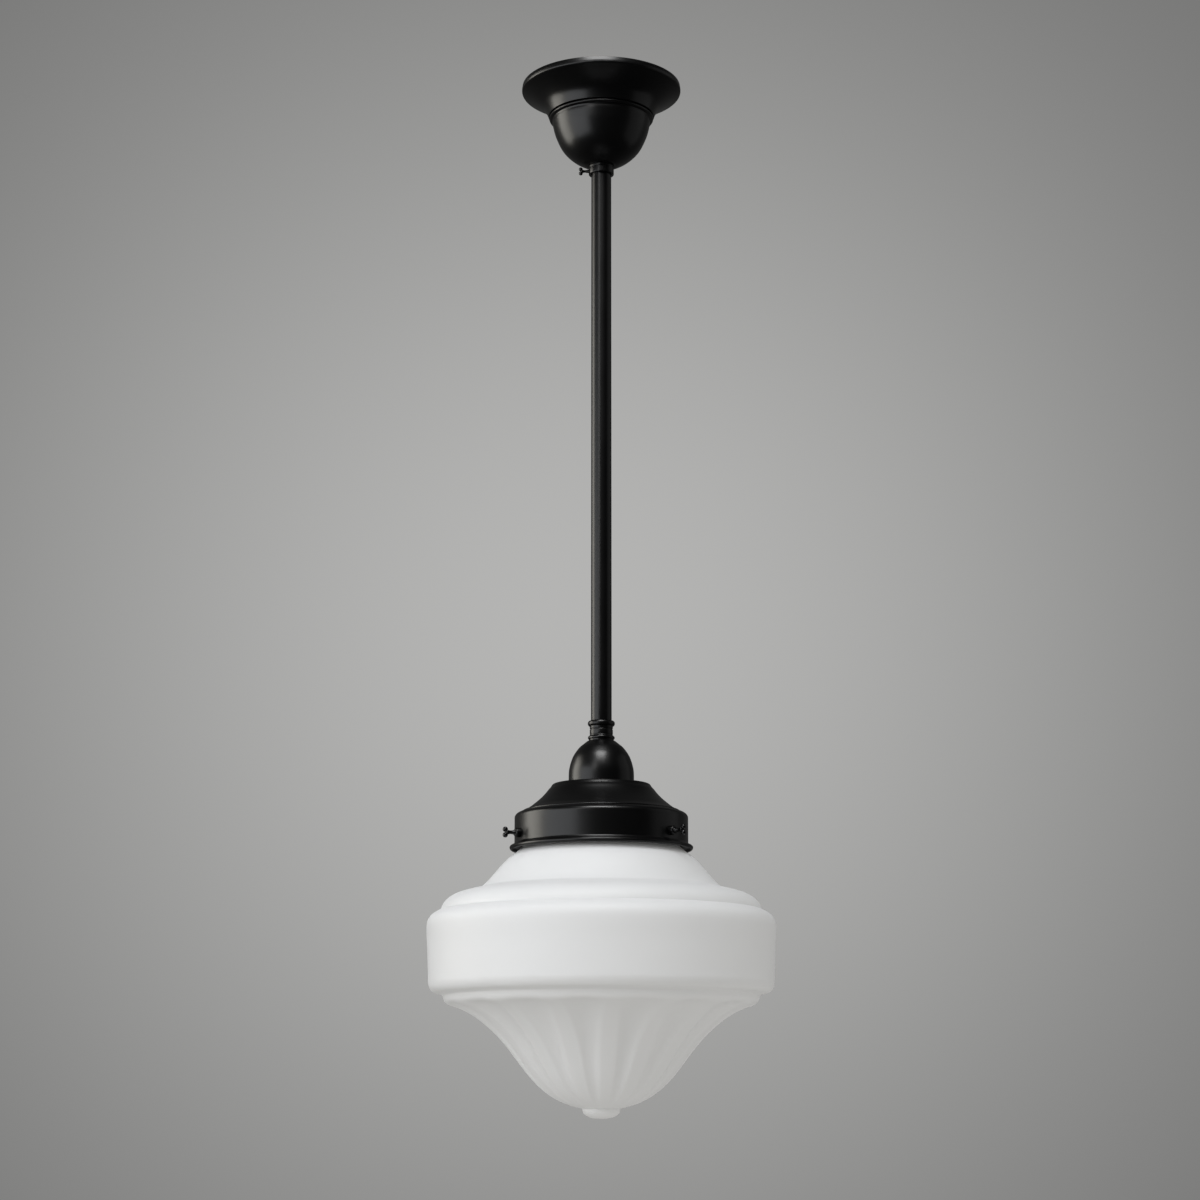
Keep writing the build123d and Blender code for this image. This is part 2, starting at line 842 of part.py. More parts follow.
def flute_section(place, along, scoop, land_share):
    """One level of the fluted glass: lands on a circle, with a hollow arc between each two."""
    pitch = 360 / flute_count
    land = land_share * pitch
    depth = flute_depth * scoop / max(abs(along.Z), 0.3)
    chord = place.X * cos(radians(pitch / 2 - land))
    bottom = chord - depth if scoop else place.X
    edges = []
    for index in range(flute_count):
        ridge = -90 + flute_ridge_angle + index * pitch
        spots = [
            (place.X, ridge - land), (place.X, ridge), (place.X, ridge + land),
            (bottom, ridge + pitch / 2), (place.X, ridge + pitch - land),
        ]
        at = [Vector(r * cos(radians(a)), r * sin(radians(a)), place.Z) for r, a in spots]
        edges.append(ThreePointArc(at[0], at[1], at[2]))
        edges.append(ThreePointArc(at[2], at[3], at[4]))
    return Face(Wire([edge for arc in edges for edge in arc.edges()]))


def fluted_cone():
    """The lower glass: levels along the ogee, whose flutes open in an arch and die at the finial."""
    ridge_line = ogee_run()
    # Place along the ridge line, how deep the flute is there, and the half land's share of the pitch
    levels = [
        (0.0, 0.0, 0.4), (0.01, 0.22, 0.34), (0.03, 0.7, 0.23), (0.06, 0.96, 0.165),
        (0.12, 1.0, 0.14), (0.25, 0.95, 0.14), (0.4, 0.8, 0.16), (0.55, 0.58, 0.19),
        (0.7, 0.38, 0.22), (0.84, 0.2, 0.24), (0.94, 0.08, 0.25), (1.0, 0.0, 0.25),
    ]
    sections = []
    for along, scoop, land_share in levels:
        place = ridge_line @ along
        sections.append(flute_section(place, ridge_line % along, scoop, land_share))
    return loft(sections)


def shade_upper_runs():
    """The outside of the glass from its lip down to the ledge, in order."""
    neck = curve(
        [
            (fitter_neck_radius, neck_bottom),
            (fitter_neck_radius + 0.24 * (neck_slope_radius - fitter_neck_radius),
             neck_bottom - 0.28 * neck_slope_drop),
            (fitter_neck_radius + 0.63 * (neck_slope_radius - fitter_neck_radius),
             neck_bottom - 0.63 * neck_slope_drop),
            (neck_slope_radius, slope_bottom),
        ],
        (0.15, -1), (1, -0.85))
    across = shoulder_radius - neck_slope_radius
    shoulder = curve(
        [
            (neck_slope_radius, slope_bottom),
            (neck_slope_radius + 0.37 * across, slope_bottom - 0.16 * shoulder_rise),
            (neck_slope_radius + 0.72 * across, slope_bottom - 0.37 * shoulder_rise),
            (neck_slope_radius + 0.93 * across, slope_bottom - 0.68 * shoulder_rise),
            (shoulder_radius, shoulder_bottom),
        ],
        (1, -0.3), (0.1, -1))
    out = shade_radius - shoulder_radius
    step = curve(
        [
            (shoulder_radius, shoulder_bottom),
            (shoulder_radius + 0.38 * out, shoulder_bottom - 0.14 * step_rise),
            (shoulder_radius + 0.84 * out, shoulder_bottom - 0.47 * step_rise),
            (shade_radius, step_bottom),
        ],
        (1, -0.22), (0, -1))
    edge = swing((band_foot_radius, band_edge), band_edge_radius - band_foot_radius,
                 band_edge_round, 0, -90)
    return neck, shoulder, step, edge


def shade_cavity():
    """The hollow inside the glass, one wall inside its outline."""
    neck, shoulder, step, edge = shade_upper_runs()
    deep_wall = glass_wall + flute_depth
    inner_ogee = inset(ogee_run(), deep_wall, 12)[1:-1]
    inner_foot = cone_top_radius + ledge_corner - 0.5 * glass_wall
    bore = fitter_neck_radius - glass_wall
    floor = inner_ogee[-1][1]
    return spun(
        (0, fitter_top + 1),
        (bore, fitter_top + 1),
        (bore, neck_bottom),
        curve(inset(neck, glass_wall)),
        curve(inset(shoulder, glass_wall)),
        curve(inset(step, glass_wall)),
        curve(inset(edge, glass_wall)),
        (inner_foot, cone_top + ledge_drop + 0.8 * glass_wall),
        curve(inner_ogee),
        (0, floor - 0.6),
    )


def glass_shade():
    """The opal glass: a lipped neck, two stepped shoulders, a band, fluted cone and finial."""
    neck, shoulder, step, edge = shade_upper_runs()
    lip_edge = fitter_top - fitter_lip_edge
    upper = spun(
        (0, fitter_top),
        (fitter_lip_radius - 0.8, fitter_top),
        (fitter_lip_radius, fitter_top - 0.8),
        (fitter_lip_radius, lip_edge),
        (fitter_neck_radius, lip_underside),
        neck,
        shoulder,
        step,
        edge,
        (cone_top_radius + ledge_corner, cone_top + ledge_corner),
        (cone_top_radius, cone_top),
        (0, cone_top),
    )
    finial = spun(
        (0, finial_top),
        (finial_radius, finial_top),
        curve(
            [
                (finial_radius, finial_top - 0.2 * finial_height),
                (0.8 * finial_radius, finial_top - 0.68 * finial_height),
                (0, finial_bottom),
            ],
            (0, -1), (-1, 0)),
    )
    return upper + fluted_cone() + finial - shade_cavity()


# Lamp bulb
def bulb_envelope():
    """A thin glass pear: a neck inside the lamp cap that swells into a ball."""
    neck = bulb_cap_radius - 0.7
    neck_top = bulb_cap_bottom + 3
    ball = bulb_bottom + bulb_radius
    side = curve(
        [
            (neck, bulb_cap_bottom),
            (neck + 0.17 * (bulb_radius - neck), bulb_cap_bottom - 0.28 * (bulb_cap_bottom - ball)),
            (neck + 0.72 * (bulb_radius - neck), bulb_cap_bottom - 0.68 * (bulb_cap_bottom - ball)),
            (bulb_radius, ball),
        ],
        (0, -1), (0, -1))
    crown = swing((0, ball), bulb_radius, bulb_radius, 0, -90)
    hollow_radius = bulb_radius - bulb_wall
    hollow = swing((0, ball), hollow_radius, hollow_radius, 0, -90)
    inner = curve(inset(side, bulb_wall), (0, -1), (0, -1))
    outside = spun((0, neck_top), (neck, neck_top), side, crown)
    inside = spun((0, neck_top + 1), (neck - bulb_wall, neck_top + 1), inner, hollow)
    return outside - inside


def bulb_cap():
    """The lamp's metal cap: a plain sleeve at the thread's outer size, coned in at its top."""
    wall = 0.5
    return spun(
        (bulb_insulator_radius - wall, bulb_cap_top),
        (bulb_insulator_radius, bulb_cap_top),
        (bulb_cap_radius, bulb_cap_top - 2),
        (bulb_cap_radius, bulb_cap_bottom),
        (bulb_cap_radius - wall, bulb_cap_bottom),
        (bulb_cap_radius - wall, bulb_cap_top - 2 - wall),
        (bulb_insulator_radius - wall, bulb_cap_top - wall),
    )


def bulb_insulator():
    top = bulb_top - bulb_contact_height
    return spun((0, top), (bulb_contact_radius + 0.4, top), (bulb_insulator_radius, bulb_cap_top),
                (0, bulb_cap_top))


def bulb_contact():
    pip = Cylinder(bulb_contact_radius, bulb_contact_height,
                   align=(Align.CENTER, Align.CENTER, Align.MAX))
    pip = fillet(pip.edges().group_by(Axis.Z)[-1], 0.5 * bulb_contact_height)
    return Pos(0, 0, bulb_top) * pip


nodes = {
    "crossbar": crossbar,
    "top_nipple": top_nipple,
    "upper_lock_nut": upper_lock_nut,
    "lower_lock_nut": lower_lock_nut,
    "terminal_block": terminal_block,
    "terminal_screws": terminal_screws,
    "terminal_block_screws": terminal_block_screws,
    "earth_washer": earth_washer,
    "earth_screw": earth_screw,
    "rod": rod,
    "canopy_flange": canopy_flange,
    "canopy_cup": canopy_cup,
    "canopy_collar": canopy_collar,
    "canopy_ring_nut": canopy_ring_nut,
    "canopy_screw": canopy_screw,
    "coupling": coupling,
    "dome": dome,
    "gallery": gallery,
    "gallery_bosses": gallery_bosses,
    "bottom_nipple": bottom_nipple,
    "gallery_washer": gallery_washer,
    "gallery_lock_nut": gallery_lock_nut,
    "lampholder_cap": lampholder_cap,
    "lampholder_body": lampholder_body,
    "lampholder_insert": lampholder_insert,
    "screw_shell": screw_shell,
    "centre_contact": centre_contact,
    "glass_shade": glass_shade,
    "bulb_envelope": bulb_envelope,
    "bulb_cap": bulb_cap,
    "bulb_insulator": bulb_insulator,
    "bulb_contact": bulb_contact,
}

os.makedirs("parts", exist_ok=True)
for name, make in nodes.items():
    export_step(make(), f"parts/{name}.step")
for screw_index in range(gallery_screw_count):
    export_step(gallery_screw(screw_index), f"parts/gallery_screw_{screw_index + 1}.step")
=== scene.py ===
"""Rod pendant light: fine surfaces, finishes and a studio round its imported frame.

Lengths in the shape functions are millimetres and are made metres where a mesh is
filled. Z is up, the ceiling is at 0 and the rod's axis is the Z axis.
"""

import json
import math

import bmesh
import bpy
import numpy as np
from bpy.props import FloatProperty, FloatVectorProperty, IntProperty, PointerProperty
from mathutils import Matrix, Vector


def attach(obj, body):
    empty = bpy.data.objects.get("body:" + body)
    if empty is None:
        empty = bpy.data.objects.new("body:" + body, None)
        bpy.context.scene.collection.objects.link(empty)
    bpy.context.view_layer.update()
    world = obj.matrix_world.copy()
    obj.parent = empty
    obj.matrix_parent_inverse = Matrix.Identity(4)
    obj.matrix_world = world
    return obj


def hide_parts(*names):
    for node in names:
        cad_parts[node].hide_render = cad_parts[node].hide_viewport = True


bl_info = {
    "name": "Rod pendant light",
    "version": (1, 0, 0),
    "blender": (4, 5, 0),
    "location": "View3D > Sidebar > Pendant",
    "description": "Builds a rod pendant light with a fluted opal glass shade",
    "category": "Add Mesh",
}

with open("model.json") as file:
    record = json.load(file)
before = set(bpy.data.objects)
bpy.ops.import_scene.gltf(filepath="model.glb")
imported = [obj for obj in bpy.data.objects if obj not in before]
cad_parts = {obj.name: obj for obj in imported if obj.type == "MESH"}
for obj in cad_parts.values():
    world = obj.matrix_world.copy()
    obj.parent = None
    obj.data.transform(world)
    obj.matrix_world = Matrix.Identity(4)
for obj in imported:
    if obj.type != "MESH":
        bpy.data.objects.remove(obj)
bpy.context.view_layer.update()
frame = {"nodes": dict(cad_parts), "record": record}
MM = 0.001
SHARP_ANGLE = math.radians(32)
MERGE_DISTANCE = 2e-7
LATHE_STEPS = 256


# Lines in the plane of radius and height
def smooth_line(points, per_run=8, start=None, end=None):
    """A line through the points. Each run is a cubic over its chord length, and the slopes
    at the points are those that keep the bending continuous. Start and end fix the first
    and last direction."""
    p = np.asarray(points, float)
    gap = np.linalg.norm(np.diff(p, axis=0), axis=1)
    count = len(p)
    system = np.zeros((count, count))
    right = np.zeros((count, 2))
    k = np.arange(1, count - 1)
    rate = np.diff(p, axis=0) / gap[:, None] ** 2
    system[k, k - 1] = 1 / gap[:-1]
    system[k, k] = 2 / gap[:-1] + 2 / gap[1:]
    system[k, k + 1] = 1 / gap[1:]
    right[k] = 3 * (rate[:-1] + rate[1:])
    for row, other, way, given in ((0, 1, 0, start), (-1, -2, -1, end)):
        if given is None:
            system[row, row] = 2 / gap[way]
            system[row, other] = 1 / gap[way]
            right[row] = 3 * rate[way]
        else:
            system[row, row] = 1
            right[row] = np.asarray(given, float) / np.linalg.norm(given)
    slope = np.linalg.solve(system, right)
    s = np.arange(per_run)[None, :, None] / per_run
    h = gap[:, None, None]
    a, b = p[:-1, None], p[1:, None]
    m, n = slope[:-1, None] * h, slope[1:, None] * h
    run = (
        (2 * s**3 - 3 * s**2 + 1) * a
        + (s**3 - 2 * s**2 + s) * m
        + (3 * s**2 - 2 * s**3) * b
        + (s**3 - s**2) * n
    )
    return np.vstack((run.reshape(-1, 2), p[-1]))


def arc(centre, across, up, first, last, count=10):
    """Points of an ellipse: centre + (across cos a, up sin a), for a from first to last."""
    a = np.radians(np.linspace(first, last, count))
    return np.column_stack((centre[0] + across * np.cos(a), centre[1] + up * np.sin(a)))


def join_lines(*lines):
    """The lines end to end, with each point that repeats the one before it left out."""
    line = np.vstack([np.atleast_2d(np.asarray(part, float)) for part in lines])
    keep = np.r_[True, np.linalg.norm(np.diff(line, axis=0), axis=1) > 1e-4]
    return line[keep]


def offset_line(line, wall):
    """Each point moved by wall along the line's normal there, to the left of its run."""
    along = np.gradient(line, axis=0)
    along /= np.linalg.norm(along, axis=1)[:, None]
    return line + wall * np.column_stack((along[:, 1], -along[:, 0]))


def round_corners(line, radius, count=4):
    """The closed line with each corner point replaced by a parabola between two points, each
    radius away along its sides: (1-s)^2 A + 2 s (1-s) corner + s^2 B."""
    back = np.roll(line, 1, axis=0) - line
    ahead = np.roll(line, -1, axis=0) - line
    back_gap = np.linalg.norm(back, axis=1)
    ahead_gap = np.linalg.norm(ahead, axis=1)
    cut = np.minimum(radius, 0.45 * np.minimum(back_gap, ahead_gap))[:, None]
    a = line + back / back_gap[:, None] * cut
    b = line + ahead / ahead_gap[:, None] * cut
    s = np.linspace(0, 1, count)[None, :, None]
    soft = (1 - s) ** 2 * a[:, None] + 2 * s * (1 - s) * line[:, None] + s**2 * b[:, None]
    return soft.reshape(-1, 2)


# Surfaces as grids of points, rows by columns
def spin(line, steps=LATHE_STEPS):
    """A line turned about Z: (r cos a, r sin a, z), for a all the way round."""
    a = np.arange(steps) * 2 * np.pi / steps
    r, z = line[:, 0, None], line[:, 1, None]
    return np.stack((r * np.cos(a), r * np.sin(a), z + 0 * a), axis=2)


def lay_along(grid, angle, height):
    """A grid whose axis is Z, turned so that Z points away from the rod at the angle."""
    c, s = math.cos(math.radians(angle)), math.sin(math.radians(angle))
    out, side, up = grid[..., 2], grid[..., 1], -grid[..., 0]
    return np.stack((out * c - side * s, out * s + side * c, up + height), axis=2)


def threaded(radius, start, stop, pitch, depth, steps, rows_per_turn=10):
    """A screw thread about Z: radius less a depth that follows the turn, as
    depth (1/2 - 1/2 cos 2 pi (z / pitch - a / 2 pi)), and that fades at both ends."""
    rows = max(8, int((stop - start) / pitch * rows_per_turn))
    z = np.linspace(start, stop, rows)[:, None]
    a = (np.arange(steps) * 2 * np.pi / steps)[None, :]
    fade = np.clip((z - start) / pitch, 0, 1) * np.clip((stop - z) / pitch, 0, 1)
    wave = 0.5 - 0.5 * np.cos(2 * np.pi * z / pitch - a)
    r = radius - depth * (1 - fade + fade * wave)
    return np.stack((r * np.cos(a), r * np.sin(a), z + 0 * a), axis=2)


def capped(grid):
    """The grid with a row at its first and last rings' centres, so that both ends close."""
    first = np.broadcast_to(grid[:1].mean(axis=1, keepdims=True), grid[:1].shape)
    last = np.broadcast_to(grid[-1:].mean(axis=1, keepdims=True), grid[-1:].shape)
    return np.concatenate((first, grid, last))


def ball(radius, across=0.0, along=0.0, rows=20, columns=28):
    """A ball: (r sin b cos a, r sin b sin a, r cos b), moved across in X and along in Z."""
    b = np.linspace(0, np.pi, rows)[:, None]
    a = (np.arange(columns) * 2 * np.pi / columns)[None, :]
    x, y = radius * np.sin(b) * np.cos(a), radius * np.sin(b) * np.sin(a)
    return np.stack((x + across, y, radius * np.cos(b) + along + 0 * a), axis=2)


def mesh_from(name, *grids, rings_closed=False):
    """One mesh from grids of points whose columns run round. Rows join to the next row, and
    the last row to the first where rings_closed. Points that meet at a pole are merged."""
    points, faces, base = [], [], 0
    for grid in grids:
        rows, columns = grid.shape[:2]
        number = base + np.arange(rows * columns).reshape(rows, columns)
        below = np.roll(number, -1, axis=0) if rings_closed else number[1:]
        above = number if rings_closed else number[:-1]
        quads = np.stack(
            (above, below, np.roll(below, -1, axis=1), np.roll(above, -1, axis=1)), axis=2
        )
        faces.append(quads.reshape(-1, 4))
        points.append(grid.reshape(-1, 3) * MM)
        base += rows * columns
    mesh = bpy.data.meshes.new(name)
    mesh.from_pydata(np.vstack(points).tolist(), [], np.vstack(faces).tolist())
    tidy_mesh(mesh)
    return mesh


def tidy_mesh(mesh):
    """Merges points that coincide, turns faces outwards and shades smooth between creases."""
    work = bmesh.new()
    work.from_mesh(mesh)
    bmesh.ops.remove_doubles(work, verts=work.verts, dist=MERGE_DISTANCE)
    bmesh.ops.dissolve_degenerate(work, edges=work.edges, dist=MERGE_DISTANCE / 20)
    bmesh.ops.recalc_face_normals(work, faces=work.faces)
    work.to_mesh(mesh)
    work.free()
    mesh.shade_smooth()
    mesh.set_sharp_from_angle(angle=SHARP_ANGLE)


def place_piece(mesh, body, nodes, finish):
    """Puts the mesh in the scene with its finish, on its body and in place of its nodes."""
    piece = bpy.data.objects.new(mesh.name, mesh)
    bpy.context.scene.collection.objects.link(piece)
    mesh.materials.append(finish)
    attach(piece, body)
    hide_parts(*nodes)


# Shader trees
class Wire:
    """One node socket. Arithmetic on it adds Math nodes to its tree."""

    def __init__(self, tree, socket):
        self.tree = tree
        self.socket = socket

    def _math(self, operation, *values):
        node = self.tree.nodes.new("ShaderNodeMath")
        node.operation = operation
        for slot, value in zip(node.inputs, values):
            if isinstance(value, Wire):
                self.tree.links.new(value.socket, slot)
            else:
                slot.default_value = value
        return Wire(self.tree, node.outputs[0])

    def __add__(self, other):
        return self._math("ADD", self, other)

    __radd__ = __add__

    def __mul__(self, other):
        return self._math("MULTIPLY", self, other)

    __rmul__ = __mul__

    def __pow__(self, other):
        return self._math("POWER", self, other)

    def clipped(self):
        """The value, kept between 0 and 1."""
        return self._math("MINIMUM", self._math("MAXIMUM", self, 0.0), 1.0)


class Finish:
    """The shader tree of a material or a world, with one method for every kind of node."""

    def __init__(self, owner):
        owner.use_nodes = True
        self.owner = owner
        self.tree = owner.node_tree
        self.tree.nodes.clear()

    def node(self, kind, properties=None, output=0, **sockets):
        """Adds a node, sets its properties, then its sockets' values or links."""
        made = self.tree.nodes.new(kind)
        for key, value in (properties or {}).items():
            setattr(made, key, value)
        for key, value in sockets.items():
            socket = self._socket(made, key)
            if isinstance(value, Wire):
                self.tree.links.new(value.socket, socket)
            else:
                socket.default_value = value
        return Wire(self.tree, made.outputs[output])

    @staticmethod
    def _socket(made, key):
        """An input by its name with underscores, or by its number as input_3."""
        wanted = key.replace("_", " ").lower()
        index = wanted.split(" ")[-1]
        if wanted.startswith("input ") and index.isdigit():
            return made.inputs[int(index)]
        return next(s for s in made.inputs if s.name.lower() == wanted and s.enabled)

    def place(self):
        """The point in the object's own frame, in metres."""
        return self.node("ShaderNodeTexCoord", output=3)

    def noise(self, scale, detail=3.0, roughness=0.55):
        """Soft noise through the whole of the object, with its scale per metre."""
        return self.node(
            "ShaderNodeTexNoise", Vector=self.place(), Scale=scale, Detail=detail,
            Roughness=roughness)

    def rings(self, scale, detail, roughness):
        """Noise over the distance from the rod's axis and the height, the same all round."""
        split = self.node("ShaderNodeSeparateXYZ", Vector=self.place())
        x, y, z = [Wire(self.tree, output) for output in split.socket.node.outputs]
        across = self.node("ShaderNodeCombineXYZ", X=(x * x + y * y) ** 0.5, Y=z)
        return self.node(
            "ShaderNodeTexNoise", {"noise_dimensions": "2D"}, Vector=across, Scale=scale,
            Detail=detail, Roughness=roughness)

    def mix(self, amount, first, second):
        """A colour between two, by an amount from 0 to 1."""
        return self.node(
            "ShaderNodeMix", {"data_type": "RGBA"}, output=2,
            input_0=amount, input_6=first, input_7=second,
        )

    def bump(self, height, distance, strength, under=None):
        """A normal bent by a height of so many metres, over another bump if one is given."""
        sockets = {"Height": height, "Distance": distance, "Strength": strength}
        if under is not None:
            sockets["Normal"] = under
        return self.node("ShaderNodeBump", **sockets)

    def close(self, **sockets):
        """Ends the tree with a Principled shader that has these sockets."""
        shader = self.node("ShaderNodeBsdfPrincipled", **sockets)
        output = self.tree.nodes.new("ShaderNodeOutputMaterial")
        self.tree.links.new(shader.socket, output.inputs[0])
        return self.owner


def rgb(colour, factor=1.0):
    """A colour times a factor, with full alpha."""
    return tuple(channel * factor for channel in colour[:3]) + (1.0,)


# Heights of the relief in the finishes, in metres
FILM_HEIGHT = 0.000006
ETCH_HEIGHT = 0.00002
WAVE_HEIGHT = 0.0006
LINE_HEIGHT = 0.00002
PLASTIC_HEIGHT = 0.00002
CERAMIC_HEIGHT = 0.00004
GRIT_HEIGHT = 0.0002


# Finishes
def satin_paint(name, colour, turned, rough):
    """Sprayed satin black on metal: a fine even texture in the film, a slow change of sheen,
    and under it the faint rings that spinning or turning left."""
    f = Finish(bpy.data.materials.new(name))
    grain = f.noise(2600.0, 2.0)
    drift = f.noise(38.0, 3.0)
    film = grain * (1 - turned) + f.rings(420.0, 2.0, 0.5) * turned
    shade = f.mix(drift, rgb(colour, 0.8), rgb(colour, 1.2))
    return f.close(
        Base_Color=shade,
        Roughness=rough + 0.07 * drift + 0.03 * grain,
        Specular_IOR_Level=0.27,
        Normal=f.bump(film, FILM_HEIGHT, 0.3),
    )


def opal_glass(name, colour):
    """Etched white opal glass: a fine dry surface, a slow waviness from the mould and faint
    clouds in the white."""
    f = Finish(bpy.data.materials.new(name))
    etch = f.noise(3200.0, 2.0)
    wave = f.noise(26.0, 2.0)
    cloud = f.noise(14.0, 4.0, 0.6)
    shade = f.mix(cloud, rgb(colour, 0.975), rgb(colour, 1.0))
    wavy = f.bump(wave, WAVE_HEIGHT, 0.35)
    return f.close(
        Base_Color=shade,
        Roughness=0.56 + 0.08 * etch,
        Specular_IOR_Level=0.4,
        Subsurface_Weight=0.25,
        Subsurface_Radius=(0.006, 0.006, 0.006),
        Subsurface_Scale=1.0,
        Normal=f.bump(etch, ETCH_HEIGHT, 0.4, wavy),
    )


def bare_metal(name, colour, rough, brushed=0.6):
    """Drawn, plated or turned metal: fine drawn lines, small changes of tint and dull spots."""
    f = Finish(bpy.data.materials.new(name))
    lines = f.rings(2400.0, 3.0, 0.6)
    spots = f.noise(420.0, 4.0, 0.65)
    tint = f.mix(spots, rgb(colour, 0.86), rgb(colour, 1.06))
    return f.close(
        Base_Color=tint,
        Metallic=1.0,
        Roughness=rough + 0.14 * spots,
        Normal=f.bump(lines, LINE_HEIGHT, brushed),
    )


def moulded(name, colour, rough, grain_height=PLASTIC_HEIGHT):
    """Moulded plastic or fired clay: a fine skin, and a little cloudiness in the colour."""
    f = Finish(bpy.data.materials.new(name))
    skin = f.noise(1500.0, 3.0)
    cloud = f.noise(90.0, 3.0)
    tint = f.mix(cloud, rgb(colour, 0.96), rgb(colour, 1.04))
    return f.close(
        Base_Color=tint,
        Roughness=rough + 0.08 * skin,
        Specular_IOR_Level=0.5,
        Normal=f.bump(skin, grain_height, 0.5),
    )


def frosted_glass(name, colour):
    """The lamp's glass, white inside: a smooth skin over a soft even white."""
    f = Finish(bpy.data.materials.new(name))
    cloud = f.noise(60.0, 3.0)
    tint = f.mix(cloud, rgb(colour, 0.97), rgb(colour, 1.0))
    return f.close(
        Base_Color=tint,
        Roughness=0.18 + 0.06 * cloud,
        Subsurface_Weight=0.2,
        Subsurface_Radius=(0.004, 0.004, 0.004),
        Subsurface_Scale=1.0,
    )


# Settings
class PendantPaint(bpy.types.PropertyGroup):
    """The colours of the metal and the glass."""

    black: FloatVectorProperty(
        name="Paint", description="Colour of the painted metal", subtype="COLOR", size=3,
        default=(0.0018, 0.0018, 0.0019), min=0, max=1,
    )
    glass: FloatVectorProperty(
        name="Glass", description="Colour of the opal glass", subtype="COLOR", size=3,
        default=(0.84, 0.84, 0.832), min=0, max=1,
    )
    turned: FloatProperty(
        name="Turning lines", description="Share of turning lines in the paint's texture",
        default=0.45, min=0, max=1, subtype="FACTOR",
    )


class PendantMetal(bpy.types.PropertyGroup):
    """Sizes of the metalwork."""

    sheet: FloatProperty(
        name="Sheet", description="Thickness of the spun sheet", default=0.001, unit="LENGTH",
    )
    rod_radius: FloatProperty(
        name="Rod radius", description="Outer radius of the rod", default=0.0065,
        unit="LENGTH",
    )
    head_height: FloatProperty(
        name="Screw head", description="Height of a gallery thumbscrew's head",
        default=0.0067, unit="LENGTH",
    )


class PendantGlass(bpy.types.PropertyGroup):
    """Sizes of the glass shade."""

    wall: FloatProperty(
        name="Wall", description="Thickness of the glass", default=0.0032, unit="LENGTH",
    )
    flutes: IntProperty(
        name="Flutes", description="Number of flutes round the lower glass", default=16,
        min=3, max=48,
    )
    flute_depth: FloatProperty(
        name="Flute depth", description="Depth of a flute at its widest", default=0.0028,
        unit="LENGTH",
    )
    ridge_angle: FloatProperty(
        name="Ridge angle", description="Where a ridge stands, from the front to the right",
        default=math.radians(4.3), subtype="ANGLE",
    )


class PendantStage(bpy.types.PropertyGroup):
    """The studio: backdrop, light and camera."""

    backdrop: FloatVectorProperty(
        name="Backdrop", description="Colour of the backdrop and floor", subtype="COLOR",
        size=3, default=(0.458, 0.457, 0.45), min=0, max=1,
    )
    key: FloatProperty(
        name="Key light", description="Power of the wide soft light at the front left",
        default=18.0, subtype="POWER",
    )
    top: FloatProperty(
        name="Top light", description="Power of the soft light above and in front",
        default=10.0, subtype="POWER",
    )
    right: FloatProperty(
        name="Right light", description="Power of the wide dim light at the right",
        default=3.0, subtype="POWER",
    )
    cards: FloatProperty(
        name="Cards", description="Brightness of the cards that only the metal mirrors",
        default=1.0, min=0, max=4,
    )
    room: FloatProperty(
        name="Room light", description="Level of the even light from all round",
        default=0.5, min=0, max=1,
    )
    distance: FloatProperty(
        name="Camera distance", description="From the rod's axis to the camera",
        default=1.6, unit="LENGTH",
    )


def settings():
    """The four groups of settings: paint, metal, glass and stage."""
    scene = bpy.context.scene
    return scene.pendant_paint, scene.pendant_metal, scene.pendant_glass, scene.pendant_stage


def black_finish():
    """The satin black, made once and shared by every painted piece."""
    found = bpy.data.materials.get("satin_black")
    paint = settings()[0]
    return found or satin_paint("satin_black", paint.black, paint.turned, rough=0.255)


# Heights that pieces share, in millimetres below the ceiling
CUP_TOP = -20.8
COLLAR_TOP = -54.8
COLLAR_BOTTOM = -60.8
ROD_TOP = -16.0
ROD_BOTTOM = -421.5
DOME_TOP = -434.0
PLATEAU = -461.5
BAND_BOTTOM = -498.0
SCREW_HEIGHT = -493.7
GALLERY_SCREW_ANGLES = (-38.2, 81.8, -158.2)
CANOPY_SCREW_HEIGHT = -58.28
FITTER_TOP = -485.85
CONE_TOP = -592.55
FINIAL_TOP = -660.05


